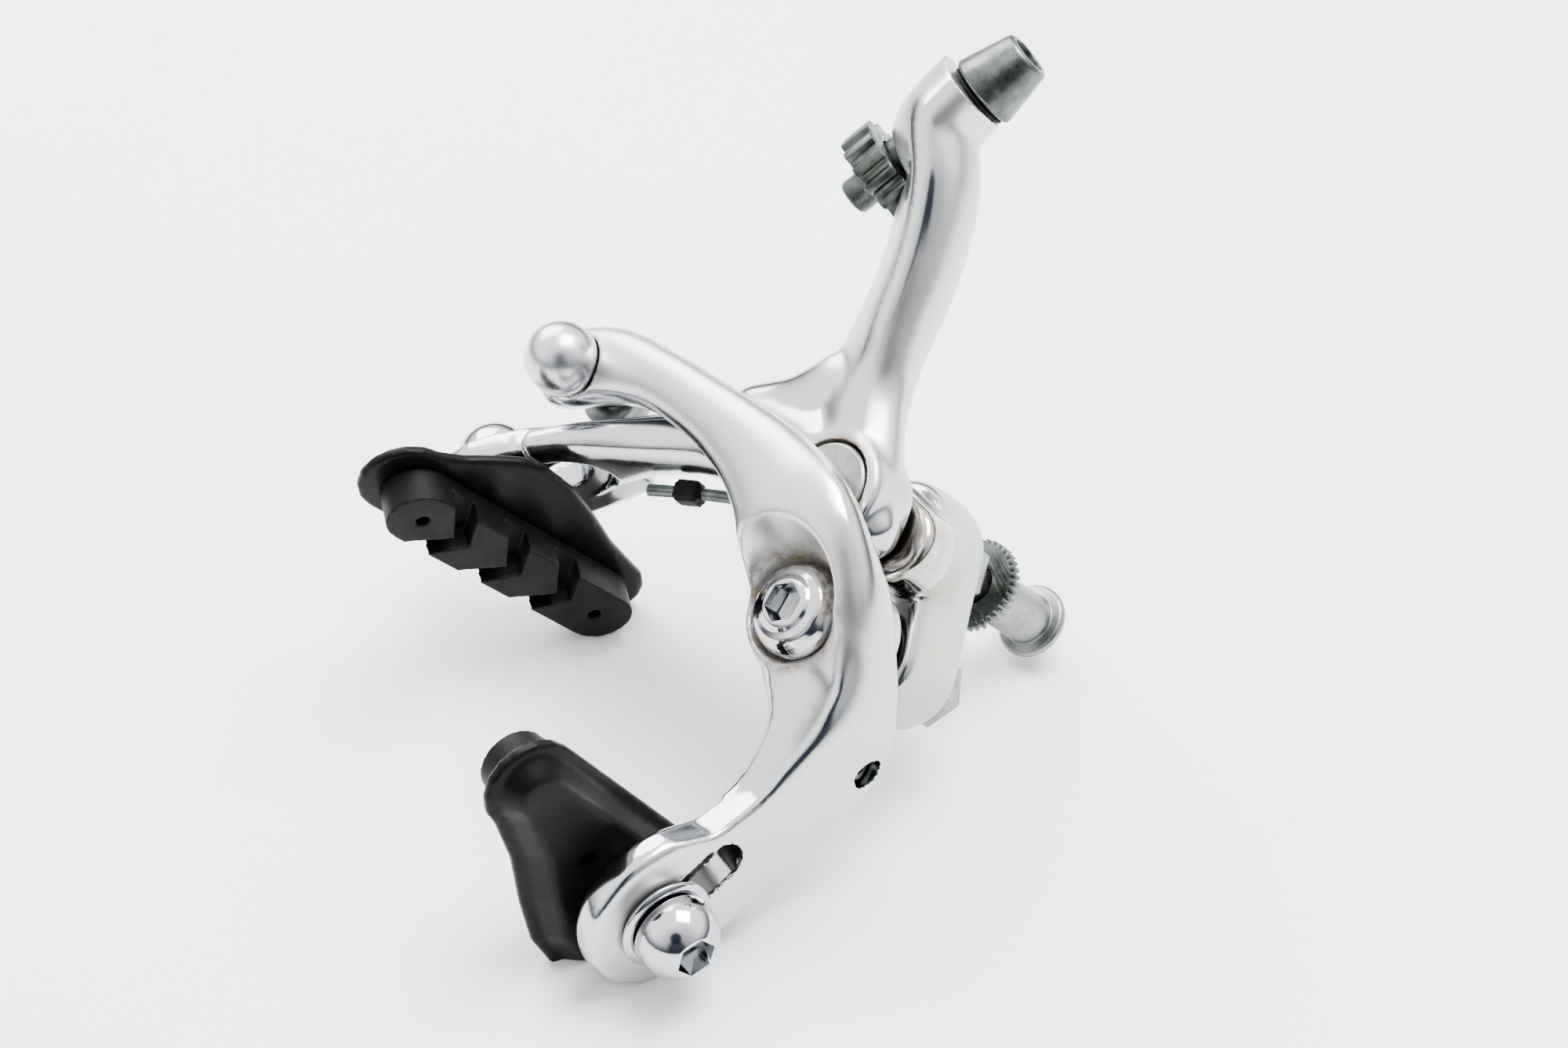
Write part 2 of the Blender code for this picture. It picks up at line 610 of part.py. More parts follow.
def build_anchor():
    """The cable anchor at the C-arm's end: a domed bolt, a grooved clamp washer and a nut."""
    at_anchor = y_frame(ANCHOR)
    headed_bolt("anchor_bolt", "chromed_steel", at_anchor, dome(5.6, 51.6, 0.8, 49.9), 2.5, 33.6)
    washer = ring("anchor_washer", 2.75, 5.6, 38.0, 39.3, at_anchor, chamfer=0.2)
    part(washer, "anchor_washer", "zinc_steel")
    nut = flat("anchor_nut", [hexagon(8.0), circle(2.75, 24)], 34.2, 37.7, at_anchor)
    part(nut, "anchor_nut", "zinc_steel")


def build_adjuster():
    """The cable adjuster on the tall arm: a coned barrel, its seal and its thumb wheel."""
    at_barrel = z_frame(BARREL)
    barrel = [(3.5, 56.4), (3.9, 56.0), (5.6, 48.2), (5.3, 47.8), (3.3, 47.8), (3.3, 27.0), (2.7, 26.6), (2.7, 24.0),
              (2.4, 23.6), (1.3, 23.6), (1.3, 50.0), (2.7, 50.0), (2.7, 56.4)]
    part(turned("adjuster_barrel", barrel, at_barrel, 24, closed=True), "adjuster_barrel", "dark_zinc")
    part(ring("adjuster_seal", 3.5, 4.9, 47.05, 47.5, at_barrel, 24), "adjuster_seal", "seal_rubber")
    wheel = flat("adjuster_wheel", [toothed(6.4, 7.3, 14, 0.55), circle(3.6, 28)], 27.6, 32.6, at_barrel)
    part(wheel, "adjuster_wheel", "dark_zinc")


def shoe_outline(pad):
    """The shoe's flange: straight on one long side, with the pad's web on the other."""
    half = SHOE_LENGTH / 2
    radius = SHOE_HALF_HEIGHT
    straight = half - radius
    points = []
    for centre, start in ((straight, -90), (-straight, 90)):
        for i in range(9):
            angle = math.radians(start + 180 * i / 8)
            points.append((centre + radius * math.cos(angle), radius * math.sin(angle)))
        if centre > 0:
            for share in (0.25, 0.5, 0.75, 1.0):
                points.append((pad.apex + (straight - pad.apex) * (1 - share),
                               radius + (pad.hump - radius) * math.sin(share * math.pi / 2) ** 1.5))
            for share in (0.75, 0.5, 0.25):
                points.append((pad.apex - (straight + pad.apex) * (1 - share),
                               radius + (pad.hump - radius) * math.sin(share * math.pi / 2) ** 1.5))
    return points


def oriented(pad, points):
    """Outline points along the shoe (s to the nose, h to the web side) in the shoe's own frame."""
    placed = [(pad.flip * (s + pad.centre_s), pad.web_sign * (h + pad.centre_h)) for s, h in points]
    return placed


def chevron(pad, apex_s, depth_low, depth_high):
    """One V-shaped water groove, its point towards the back of the pad."""
    width = 3.4
    reach = 9.0
    near_side, far_side = apex_s, apex_s - width
    points = [(near_side + reach, 8.4), (near_side, 0), (near_side + reach, -8.4), (far_side + reach, -8.4 - width),
              (far_side, 0), (far_side + reach, 8.4 + width)]
    return flat("groove", [oriented(pad, points)], depth_low, depth_high, pad.shoe_frame(), cutter=True)


def build_pad(pad):
    """One brake shoe: friction block, shoe with a hipped back, threaded insert, bolt and washers."""
    name = pad.name
    at_shoe = pad.shoe_frame()
    block_low = FLANGE_DEPTH + FLANGE_THICKNESS + 0.3
    end = BLOCK_LENGTH / 2 - BLOCK_HEIGHT / 2
    friction = flat("block", [oriented(pad, stadium((-end, 0), (end, 0), BLOCK_HEIGHT / 2, 10))], block_low,
                    block_low + BLOCK_THICKNESS, at_shoe)
    top = block_low + BLOCK_THICKNESS
    for apex_s in (13.5, 1.6, -10.2):
        cut(friction, chevron(pad, apex_s, top - 3.6, top + 3))
    part(friction, f"pad_block_{name}", "pad_rubber")

    flange = flat("flange", [oriented(pad, shoe_outline(pad))], FLANGE_DEPTH, FLANGE_DEPTH + FLANGE_THICKNESS, at_shoe)
    rings = []
    for s, width, thickness in ((-27.5, 3.4, 0.6), (-25.5, 5.2, 1.2), (-22.0, 6.1, 1.8), (-6.5, 6.4, 3.8), (0, 6.4, 3.8),
                                (6.5, 6.4, 3.8), (22.0, 6.1, 1.8), (25.5, 5.2, 1.2), (27.5, 3.4, 0.6)):
        base = FLANGE_DEPTH + 0.4
        section = [(width, base), (width, base - 0.4 - thickness * 0.3), (width * 0.9, FLANGE_DEPTH - thickness * 0.8),
                   (width * 0.72, FLANGE_DEPTH - thickness)]
        section += [(-h, d) for h, d in reversed(section)]
        placed = []
        for h, d in section:
            x, y = oriented(pad, [(s, h)])[0]
            placed.append(Vector((x, y, d)))
        rings.append(placed)
    roof = place(skin("roof", rings), at_shoe)
    join(flange, roof)
    cut(flange, rod("bolt_hole", 3.3, -2, 9, at_shoe, 32), rod("insert_pocket", 4.7, -3, 5.4, at_shoe, 32))
    part(flange, f"pad_shoe_{name}", "shoe_plastic")

    part(ring(f"pad_insert_{name}", 3.1, 4.4, 2.2, 5.1, at_shoe, 32), f"pad_insert_{name}", "zinc_steel")
    at_bolt = pad.bolt_frame()
    headed_bolt(f"pad_bolt_{name}", "chromed_steel", at_bolt, dome(6.0, 3.5, 3.1, 1.9), 2.85, -12.2, socket=5.2,
                socket_depth=4.0)
    part(ring(f"pad_washer_{name}", 3.1, 6.9, 0.3, 1.5, at_bolt, 28, chamfer=0.3), f"pad_washer_{name}", "chromed_steel")
    part(ring(f"pad_spacer_{name}", 3.1, 6.2, -6.5, -5.3, at_bolt), f"pad_spacer_{name}", "zinc_steel")


build_front_arm()
build_rear_arm()
build_bracket()
build_centre_hardware()
build_pivot_hardware()
build_spring()
build_anchor()
build_adjuster()
for side in (NEAR, FAR):
    build_pad(side)
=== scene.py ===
"""Looks of the dual-pivot rim brake caliper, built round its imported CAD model.

Lengths are millimetres, scaled by MM; the frame is the CAD frame: +X right from the front, -Y front,
+Z up, with the origin on the centre bolt at the serrated washer's rear face.
"""
import math

import bmesh
import bpy
import numpy as np
from mathutils import Matrix, Vector


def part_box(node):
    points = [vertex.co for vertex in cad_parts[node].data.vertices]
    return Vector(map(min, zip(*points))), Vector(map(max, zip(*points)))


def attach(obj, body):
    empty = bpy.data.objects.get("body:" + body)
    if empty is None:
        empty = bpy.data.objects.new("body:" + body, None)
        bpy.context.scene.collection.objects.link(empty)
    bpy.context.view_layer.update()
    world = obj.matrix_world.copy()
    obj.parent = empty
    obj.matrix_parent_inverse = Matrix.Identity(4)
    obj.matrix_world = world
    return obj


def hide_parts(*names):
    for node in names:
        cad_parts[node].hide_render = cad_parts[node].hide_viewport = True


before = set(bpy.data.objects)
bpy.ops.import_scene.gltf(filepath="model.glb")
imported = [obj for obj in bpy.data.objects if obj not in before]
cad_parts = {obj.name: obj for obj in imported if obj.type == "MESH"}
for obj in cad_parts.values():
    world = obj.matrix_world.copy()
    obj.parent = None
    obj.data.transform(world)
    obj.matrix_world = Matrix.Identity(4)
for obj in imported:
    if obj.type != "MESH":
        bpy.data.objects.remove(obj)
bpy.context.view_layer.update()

MM = 0.001
MERGE = 0.00001
FRONT = Vector((0, -1, 0))
CENTRE = Vector((0, 0, 0))
PIVOT = Vector((14.0, 0, -11.7))
ANCHOR = Vector((-41.8, 0, -25.2))
BARREL = Vector((-36.5, -44.0, 0))
CENTRING_AXIS = Vector((0.85, 0.11, 0.51)).normalized()
CENTRING_MOUTH = Vector((32.1, -25.6, -18.5))
SEAT_RADIUS = 7.25
SEAT_Y = -39.2
ARCH_BACK_Y = -41.9
HUB_RADIUS = 8.8
BOSS_RADIUS = 8.9
PLATE_THICKNESS = 5.0
SLOT_WIDTH = 6.6
SLOT_TRAVEL = 11.0
SLOT_LEAN = math.radians(13)
LANDING_RADIUS = 7.0
# Voxel sizes for joining the forgings and for their final skin, and the angle of a sharp edge
JOIN_VOXEL = 0.45
SKIN_VOXEL = 0.28
SHARP_ANGLE = math.radians(32)

SHOE_LENGTH = 59.5
SHOE_HALF_HEIGHT = 7.0
BLOCK_LENGTH = 52.0
BLOCK_HEIGHT = 10.0
BLOCK_THICKNESS = 5.6
FLANGE_THICKNESS = 1.8
FLANGE_DEPTH = 5.6

TABLE_NORMAL = Vector((-0.16, -0.76, 0.63)).normalized()
TABLE_POINT = Vector((-23.6, -18.3, -54.0))

# The camera's heading turns from +Y towards -X; its roll is large because the brake lies on a table
CAMERA_PLACE = Vector((257.5, -351.6, 118.3))
CAMERA_HEADING = math.radians(39.566)
CAMERA_PITCH = math.radians(-17.397)
CAMERA_ROLL = math.radians(51.933)

# Each station of a limb: centre x, y, z, half width, half depth, squareness of the section
FRONT_ARM_STATIONS = [
    (-45.8, -44.6, -28.2, 6.2, 4.8, 2.6),
    (-39.8, -44.8, -20.6, 5.8, 4.7, 2.8),
    (-31.0, -45.5, -14.4, 4.7, 4.2, 2.8),
    (-21.2, -45.9, -9.8, 4.8, 4.0, 2.8),
    (-12.5, -46.0, -6.6, 5.6, 4.1, 2.8),
    (-3.5, -46.0, -4.5, 7.2, 4.2, 2.6),
    (5.5, -45.4, -4.4, 9.5, 4.4, 2.6),
    (13.2, -39.7, -8.0, 10.5, 7.1, 2.8),
    (19.4, -34.2, -13.0, 9.4, 7.8, 3.2),
    (26.0, -31.0, -18.0, 7.2, 8.8, 3.6),
    (29.8, -30.0, -24.0, 4.8, 9.2, 4.0),
    (33.0, -31.6, -31.0, 3.4, 9.8, 4.0),
    (36.0, -36.6, -38.6, 2.8, 11.6, 4.0),
]

REAR_LEG_STATIONS = [
    (3.0, -36.2, -0.4, 7.2, 5.0, 2.8),
    (-6.5, -36.2, -2.0, 9.2, 5.0, 2.8),
    (-15.2, -36.3, -5.6, 8.6, 5.0, 2.8),
    (-23.2, -36.3, -14.0, 5.4, 5.0, 2.8),
    (-28.8, -37.6, -22.6, 3.8, 5.6, 3.0),
    (-33.2, -39.2, -30.6, 3.0, 7.8, 3.4),
    (-36.6, -39.6, -37.8, 2.6, 9.6, 3.6),
]

TALL_ARM_STATIONS = [
    (-38.2, -45.0, 50.5, 6.1, 6.0, 3.6),
    (-37.7, -45.0, 44.2, 6.1, 6.0, 3.6),
    (-35.9, -44.8, 39.0, 6.2, 6.3, 3.2),
    (-29.5, -42.6, 34.8, 5.9, 6.7, 2.6),
    (-24.7, -40.6, 29.6, 5.8, 6.5, 2.4),
    (-20.7, -39.0, 23.6, 5.9, 6.2, 2.4),
    (-17.4, -37.8, 17.5, 6.2, 5.8, 2.4),
    (-14.2, -36.4, 11.4, 7.2, 5.2, 2.4),
    (-9.4, -36.3, 5.8, 8.4, 5.0, 2.4),
    (-1.8, -36.2, 2.4, 7.8, 5.0, 2.4),
    (6.6, -35.8, 0.2, 5.4, 4.6, 2.4),
]

# A pad plate's outline from the bolt axis: (towards the back, along the plate's height)
PLATE_SHAPE = [(-1.6, 15.8), (-5.4, 12.4), (-9.0, 8.2), (-11.2, 3.6), (-11.5, -0.6), (-10.8, -4.4),
               (-8.2, -8.2), (-4.0, -10.8), (1.4, -11.2), (6.0, -9.6), (9.2, -6.0), (11.4, -0.6),
               (14.4, 8.0), (17.6, 17.0)]

SPRING_RADIUS = 0.95
SPRING_ROUTE = [(-26.0, -34.2, -28.2), (-21.4, -33.2, -22.8), (-16.6, -31.2, -17.2), (-11.6, -28.8, -12.6),
                (-5.6, -27.8, -9.8), (0.0, -27.6, -9.4), (3.0, -27.4, -13.6), (5.2, -26.2, -18.6),
                (9.6, -24.6, -22.6), (15.0, -24.2, -24.6), (20.2, -24.4, -26.4), (24.4, -24.6, -29.2)]


def axis_frame(origin, axis, up=Vector((0, 0, 1))):
    """A placement in metres whose local Z runs along axis and whose local Y leans towards up."""
    z = axis.normalized()
    x = up.cross(z)
    if x.length < 1e-6:
        x = Vector((1, 0, 0))
    x.normalize()
    y = z.cross(x)
    rotation = Matrix((x, y, z)).transposed().to_4x4()
    return Matrix.Translation(origin * MM) @ rotation


def finish_mesh(name, mesh_builder):
    """Turn a bmesh into a named object with its faces pointing out."""
    bmesh.ops.remove_doubles(mesh_builder, verts=mesh_builder.verts, dist=MERGE)
    bmesh.ops.recalc_face_normals(mesh_builder, faces=mesh_builder.faces)
    mesh = bpy.data.meshes.new(name)
    mesh_builder.to_mesh(mesh)
    mesh_builder.free()
    return bpy.data.objects.new(name, mesh)


def flat(name, outlines, low, high, matrix):
    """A flat piece from closed outlines, the second and later ones being its holes."""
    curve = bpy.data.curves.new(name, "CURVE")
    curve.dimensions = "2D"
    curve.fill_mode = "BOTH"
    curve.extrude = (high - low) / 2 * MM
    for outline in outlines:
        spline = curve.splines.new("POLY")
        spline.points.add(len(outline) - 1)
        for point, (x, y) in zip(spline.points, outline):
            point.co = (x * MM, y * MM, 0, 1)
        spline.use_cyclic_u = True
    shape = bpy.data.objects.new(name, curve)
    bpy.context.scene.collection.objects.link(shape)
    evaluated = shape.evaluated_get(bpy.context.evaluated_depsgraph_get())
    solid = bmesh.new()
    solid.from_mesh(bpy.data.meshes.new_from_object(evaluated))
    bpy.data.objects.remove(shape, do_unlink=True)
    obj = finish_mesh(name, solid)
    obj.data.transform(matrix @ Matrix.Translation((0, 0, (low + high) / 2 * MM)))
    return link(obj)


def circle(radius, count=64, phase=0.0):
    """Points round a circle, or the corners of a regular polygon."""
    angles = [phase + 2 * math.pi * i / count for i in range(count)]
    return [(radius * math.cos(a), radius * math.sin(a)) for a in angles]


def hexagon(across_flats, phase=0.0):
    """A hexagon by its size across the flats."""
    return circle(across_flats / math.sqrt(3), 6, phase)


def toothed(root, tip, teeth, land=0.5):
    """An outline with square-shouldered teeth, for a knurled or serrated edge."""
    points = []
    pitch = 2 * math.pi / teeth
    for i in range(teeth):
        for share, radius in ((0.0, root), (0.15, tip), (0.15 + land * 0.7, tip), (0.3 + land * 0.7, root)):
            angle = pitch * (i + share)
            points.append((radius * math.cos(angle), radius * math.sin(angle)))
    return points


def stadium(first, second, radius, count=24):
    """The rounded outline round two centres."""
    dx, dy = second[0] - first[0], second[1] - first[1]
    heading = math.atan2(dy, dx)
    points = []
    for centre, start in ((second, heading - math.pi / 2), (first, heading + math.pi / 2)):
        for i in range(count + 1):
            angle = start + math.pi * i / count
            points.append((centre[0] + radius * math.cos(angle), centre[1] + radius * math.sin(angle)))
    return points


def spline_rows(rows, steps):
    """Rows of numbers joined by smooth Catmull-Rom curves, with steps points to a span."""
    padded = [rows[0], *rows, rows[-1]]
    result = []
    for i in range(len(rows) - 1):
        p0, p1, p2, p3 = padded[i:i + 4]
        for k in range(steps):
            t = k / steps
            row = []
            for a, b, c, d in zip(p0, p1, p2, p3):
                row.append(0.5 * (2 * b + (c - a) * t + (2 * a - 5 * b + 4 * c - d) * t ** 2
                                  + (3 * b - a - 3 * c + d) * t ** 3))
            result.append(row)
    result.append(list(rows[-1]))
    return result


def skin(name, rings):
    """A closed solid through rings of points with equal counts."""
    solid = bmesh.new()
    loops = [[solid.verts.new(point * MM) for point in ring_points] for ring_points in rings]
    for lower, upper in zip(loops, loops[1:]):
        for i in range(len(lower)):
            j = (i + 1) % len(lower)
            solid.faces.new((lower[i], lower[j], upper[j], upper[i]))
    solid.faces.new(list(reversed(loops[0])))
    solid.faces.new(loops[-1])
    return finish_mesh(name, solid)


def plate_axes(tilt, side):
    """The outward normal and the upward direction of a pad plate on the +X (1) or -X (-1) side."""
    outward = Vector((side * math.cos(tilt), 0, math.sin(tilt)))
    upward = Vector((-side * math.sin(tilt), 0, math.cos(tilt)))
    return outward, upward


class PadSide:
    """Where one pad sits: its plate, its bolt axis and how its shoe is turned on the bolt."""

    def __init__(self, name, plate, tilt, side, web_sign, nose_up, centre, apex, hump):
        self.name = name
        self.outward, self.upward = plate_axes(tilt, side)
        self.surface = plate
        self.inner = plate - self.outward * PLATE_THICKNESS
        self.flip = side
        self.web_sign = web_sign
        self.centre_s, self.centre_h = centre
        self.apex = apex
        self.hump = hump
        self.nose = FRONT * math.cos(nose_up) + self.upward * math.sin(nose_up)
        self.height = self.upward * math.cos(nose_up) - FRONT * math.sin(nose_up)

    def shoe_frame(self):
        """Local Z points along the bolt to the rim, local Y up, local X to the nose times flip."""
        matrix = Matrix((self.nose * self.flip, self.height, -self.outward)).transposed().to_4x4()
        return Matrix.Translation(self.inner * MM) @ matrix

    def bolt_frame(self):
        """Local Z points out along the bolt from the plate's outer face, local Y up the plate."""
        return axis_frame(self.surface, self.outward, self.upward)


def y_frame(point, y=0.0, direction=-1):
    """A placement on an axis parallel to Y, local Z pointing to the front (-1) or the back (1)."""
    return axis_frame(Vector((point.x, y, point.z)), Vector((0, direction, 0)))


def z_frame(point):
    """A placement on an axis parallel to Z."""
    return Matrix.Translation(Vector((point.x, point.y, 0)) * MM)


def oriented(pad, points):
    """Outline points along the shoe (s to the nose, h to the web side) in the shoe's own frame."""
    return [(pad.flip * (s + pad.centre_s), pad.web_sign * (h + pad.centre_h)) for s, h in points]


def shoe_outline(pad):
    """The shoe's flange: straight on one long side, with the pad's web on the other."""
    half = SHOE_LENGTH / 2
    radius = SHOE_HALF_HEIGHT
    straight = half - radius
    points = []
    for centre, start in ((straight, -90), (-straight, 90)):
        for i in range(9):
            angle = math.radians(start + 180 * i / 8)
            points.append((centre + radius * math.cos(angle), radius * math.sin(angle)))
        if centre > 0:
            for share in (0.25, 0.5, 0.75, 1.0):
                points.append((pad.apex + (straight - pad.apex) * (1 - share),
                               radius + (pad.hump - radius) * math.sin(share * math.pi / 2) ** 1.5))
            for share in (0.75, 0.5, 0.25):
                points.append((pad.apex - (straight + pad.apex) * (1 - share),
                               radius + (pad.hump - radius) * math.sin(share * math.pi / 2) ** 1.5))
    return points


def link(obj):
    """Put an object in the scene."""
    bpy.context.scene.collection.objects.link(obj)
    return obj


def rounded(profile, radius=0.2, count=3):
    """A turned profile whose corners are eased by small curves."""
    points = [profile[0]]
    for before, corner, after in zip(profile, profile[1:], profile[2:]):
        a, b, c = Vector(before), Vector(corner), Vector(after)
        reach = min(radius, (a - b).length * 0.45, (c - b).length * 0.45)
        if reach < 0.01 or b.x < 0.001:
            points.append(corner)
            continue
        start, end = b + (a - b).normalized() * reach, b + (c - b).normalized() * reach
        for i in range(count + 1):
            t = i / count
            points.append(tuple(start * (1 - t) ** 2 + b * 2 * t * (1 - t) + end * t ** 2))
    points.append(profile[-1])
    return points


def lathe(name, profile, matrix, steps=96, closed=False, ease=0.2):
    """A turned solid from (radius, height) points, open on the axis or closed round a hole."""
    if ease:
        if closed:
            wrapped = rounded([*profile, profile[0], profile[1]], ease)
            profile = wrapped[1:-1]
        else:
            profile = rounded(profile, ease)
    solid = bmesh.new()
    rows = []
    for radius, height in profile:
        if radius < 1e-6:
            rows.append([solid.verts.new((0, 0, height * MM))])
            continue
        angles = [2 * math.pi * i / steps for i in range(steps)]
        rows.append([solid.verts.new((radius * math.cos(a) * MM, radius * math.sin(a) * MM, height * MM))
                     for a in angles])
    pairs = list(zip(rows, rows[1:]))
    if closed:
        pairs.append((rows[-1], rows[0]))
    for upper, lower in pairs:
        for i in range(steps):
            j = (i + 1) % steps
            if len(upper) == 1 and len(lower) == 1:
                break
            if len(upper) == 1:
                solid.faces.new((upper[0], lower[i], lower[j]))
            elif len(lower) == 1:
                solid.faces.new((upper[i], lower[0], upper[j]))
            else:
                solid.faces.new((upper[i], lower[i], lower[j], upper[j]))
    obj = finish_mesh(name, solid)
    obj.data.transform(matrix)
    return link(obj)


def cylinder(name, radius, low, high, matrix, steps=96):
    """A plain cylinder between two heights."""
    return lathe(name, [(0, high), (radius, high), (radius, low), (0, low)], matrix, steps, ease=0)


def settled(obj):
    """Apply an object's modifiers to its mesh."""
    depsgraph = bpy.context.evaluated_depsgraph_get()
    mesh = bpy.data.meshes.new_from_object(obj.evaluated_get(depsgraph))
    obj.modifiers.clear()
    obj.data = mesh
    return obj


def merged(obj, others, voxel, rounds):
    """Join overlapping solids into one skin and soften where they meet."""
    solid = bmesh.new()
    for source in (obj, *others):
        solid.from_mesh(source.data)
    solid.to_mesh(obj.data)
    solid.free()
    for other in others:
        bpy.data.objects.remove(other, do_unlink=True)
    return softened(obj, voxel, rounds)


def softened(obj, voxel, rounds):
    """Voxel remesh an object and smooth it, which rounds its edges as forging and polishing do."""
    remesh = obj.modifiers.new("skin", "REMESH")
    remesh.mode = "VOXEL"
    remesh.voxel_size = voxel * MM
    remesh.use_smooth_shade = True
    if rounds:
        smooth = obj.modifiers.new("ease", "SMOOTH")
        smooth.factor = 0.5
        smooth.iterations = rounds
    return settled(obj)


def cut(obj, *tools, solver="MANIFOLD"):
    """Cut solids out of an object and drop them."""
    for tool in tools:
        step = obj.modifiers.new("cut", "BOOLEAN")
        step.operation = "DIFFERENCE"
        step.object = tool
        step.solver = solver
        settled(obj)
        bpy.data.objects.remove(tool, do_unlink=True)
    return obj


def eased(obj, width=0.12, angle=35):
    """Small bevels on an object's sharp edges, as machining leaves them."""
    bevel = obj.modifiers.new("edges", "BEVEL")
    bevel.width = width * MM
    bevel.segments = 2
    bevel.limit_method = "ANGLE"
    bevel.angle_limit = math.radians(angle)
    return settled(obj)


def section(angle, power):
    """A point on a unit superellipse: power 2 is round, more is squarer."""
    c, s = math.cos(angle), math.sin(angle)
    return math.copysign(abs(c) ** (2 / power), c), math.copysign(abs(s) ** (2 / power), s)


def ridged(angle, power):
    """The tall arm's section: two faces meeting in a narrow ridge at the front."""
    u, v = section(angle, power)
    if v < 0:
        v *= 1 - 0.42 * min(max(abs(u + 0.4) - 0.18, 0) / 1.1, 1)
    return u, v


def limb_frames(stations, steps):
    """Centre, direction, across axis and section of a limb at close intervals."""
    rows = spline_rows(stations, steps)
    frames = []
    for i, row in enumerate(rows):
        before, after = rows[max(i - 1, 0)], rows[min(i + 1, len(rows) - 1)]
        along = Vector((after[0] - before[0], after[1] - before[1], after[2] - before[2])).normalized()
        across = Vector((along.z, 0, -along.x)).normalized()
        frames.append((Vector(row[:3]), along, across, row[3], row[4], row[5]))
    return frames


def limb(name, stations, shape=section, steps=10, count=88, round_ends=(True, True)):
    """A forged limb through its stations, with eased ends."""
    frames = limb_frames(stations, steps)
    caps = []
    for end, sign, wanted in ((0, -1, round_ends[0]), (-1, 1, round_ends[1])):
        centre, along, across, half, depth, power = frames[end]
        reach = min(half, depth) * 0.8
        cap = []
        for angle in (12, 24, 36, 48, 60, 72, 80) if wanted else ():
            shrink, push = math.cos(math.radians(angle)), math.sin(math.radians(angle))
            cap.append((centre + along * sign * reach * push, along, across, half * (0.35 + 0.65 * shrink),
                        depth * (0.35 + 0.65 * shrink), power))
        caps.append(cap)
    frames = list(reversed(caps[0])) + frames + caps[1]
    rings = []
    for centre, along, across, half, depth, power in frames:
        points = []
        for k in range(count):
            u, v = shape(2 * math.pi * k / count, power)
            points.append(centre + across * half * u + Vector((0, depth * v, 0)))
        rings.append(points)
    return link(skin(name, rings))


NEAR = PadSide("right", plate=Vector((42.0, -40.0, -48.4)), tilt=0.32, side=1, web_sign=-1,
               nose_up=math.radians(7), centre=(3.0, -2.8), apex=-6.0, hump=19.0)
FAR = PadSide("left", plate=Vector((-41.9, -40.0, -48.1)), tilt=0.12, side=-1, web_sign=1,
              nose_up=0.0, centre=(1.6, -0.2), apex=8.0, hump=14.6)


def pad_plate(pad):
    """The flat plate at an arm's foot."""
    outline = [tuple(row) for row in spline_rows(PLATE_SHAPE, 8)]
    back = Vector((0, 1, 0))
    matrix = Matrix((back, pad.upward, back.cross(pad.upward))).transposed().to_4x4()
    matrix = Matrix.Translation(pad.surface * MM) @ matrix
    outward = (matrix.to_3x3() @ Vector((0, 0, 1))).dot(pad.outward)
    low, high = (-PLATE_THICKNESS, 0) if outward > 0 else (0, PLATE_THICKNESS)
    return flat("plate", [outline], low, high, matrix)


def slot_tools(pad):
    """The cutters for a pad bolt's slot and its flat landing inside."""
    matrix = pad.bolt_frame()
    right = matrix.to_3x3() @ Vector((1, 0, 0))
    rearward = 1 if right.y > 0 else -1
    top = (rearward * SLOT_TRAVEL * math.sin(SLOT_LEAN), SLOT_TRAVEL * math.cos(SLOT_LEAN))
    slot = flat("slot", [stadium((0, -0.3), top, SLOT_WIDTH / 2)], -16, 8, matrix)
    landing = flat("landing", [stadium((0, -4), top, LANDING_RADIUS)], -16, -PLATE_THICKNESS, matrix)
    return slot, landing


def bar(name, first, second, levels):
    """A bar round two axes parallel to Y, its outline's radius varying along Y."""
    rings = []
    for y, radius in levels:
        outline = stadium(first, second, radius, 40)
        rings.append([Vector((x, y, z)) for x, z in outline])
    return link(skin(name, rings))


def tube(name, points, radius, resolution=6):
    """A round wire through points, its ends closed."""
    curve = bpy.data.curves.new(name, "CURVE")
    curve.dimensions = "3D"
    curve.bevel_depth = radius * MM
    curve.bevel_resolution = resolution
    curve.use_fill_caps = True
    spline = curve.splines.new("POLY")
    spline.points.add(len(points) - 1)
    for point, place_at in zip(spline.points, points):
        point.co = (*(Vector(place_at) * MM), 1)
    shape = link(bpy.data.objects.new(name, curve))
    depsgraph = bpy.context.evaluated_depsgraph_get()
    solid = bmesh.new()
    solid.from_mesh(bpy.data.meshes.new_from_object(shape.evaluated_get(depsgraph)))
    bpy.data.objects.remove(shape, do_unlink=True)
    return link(finish_mesh(name, solid))


# ---------------------------------------------------------------- materials

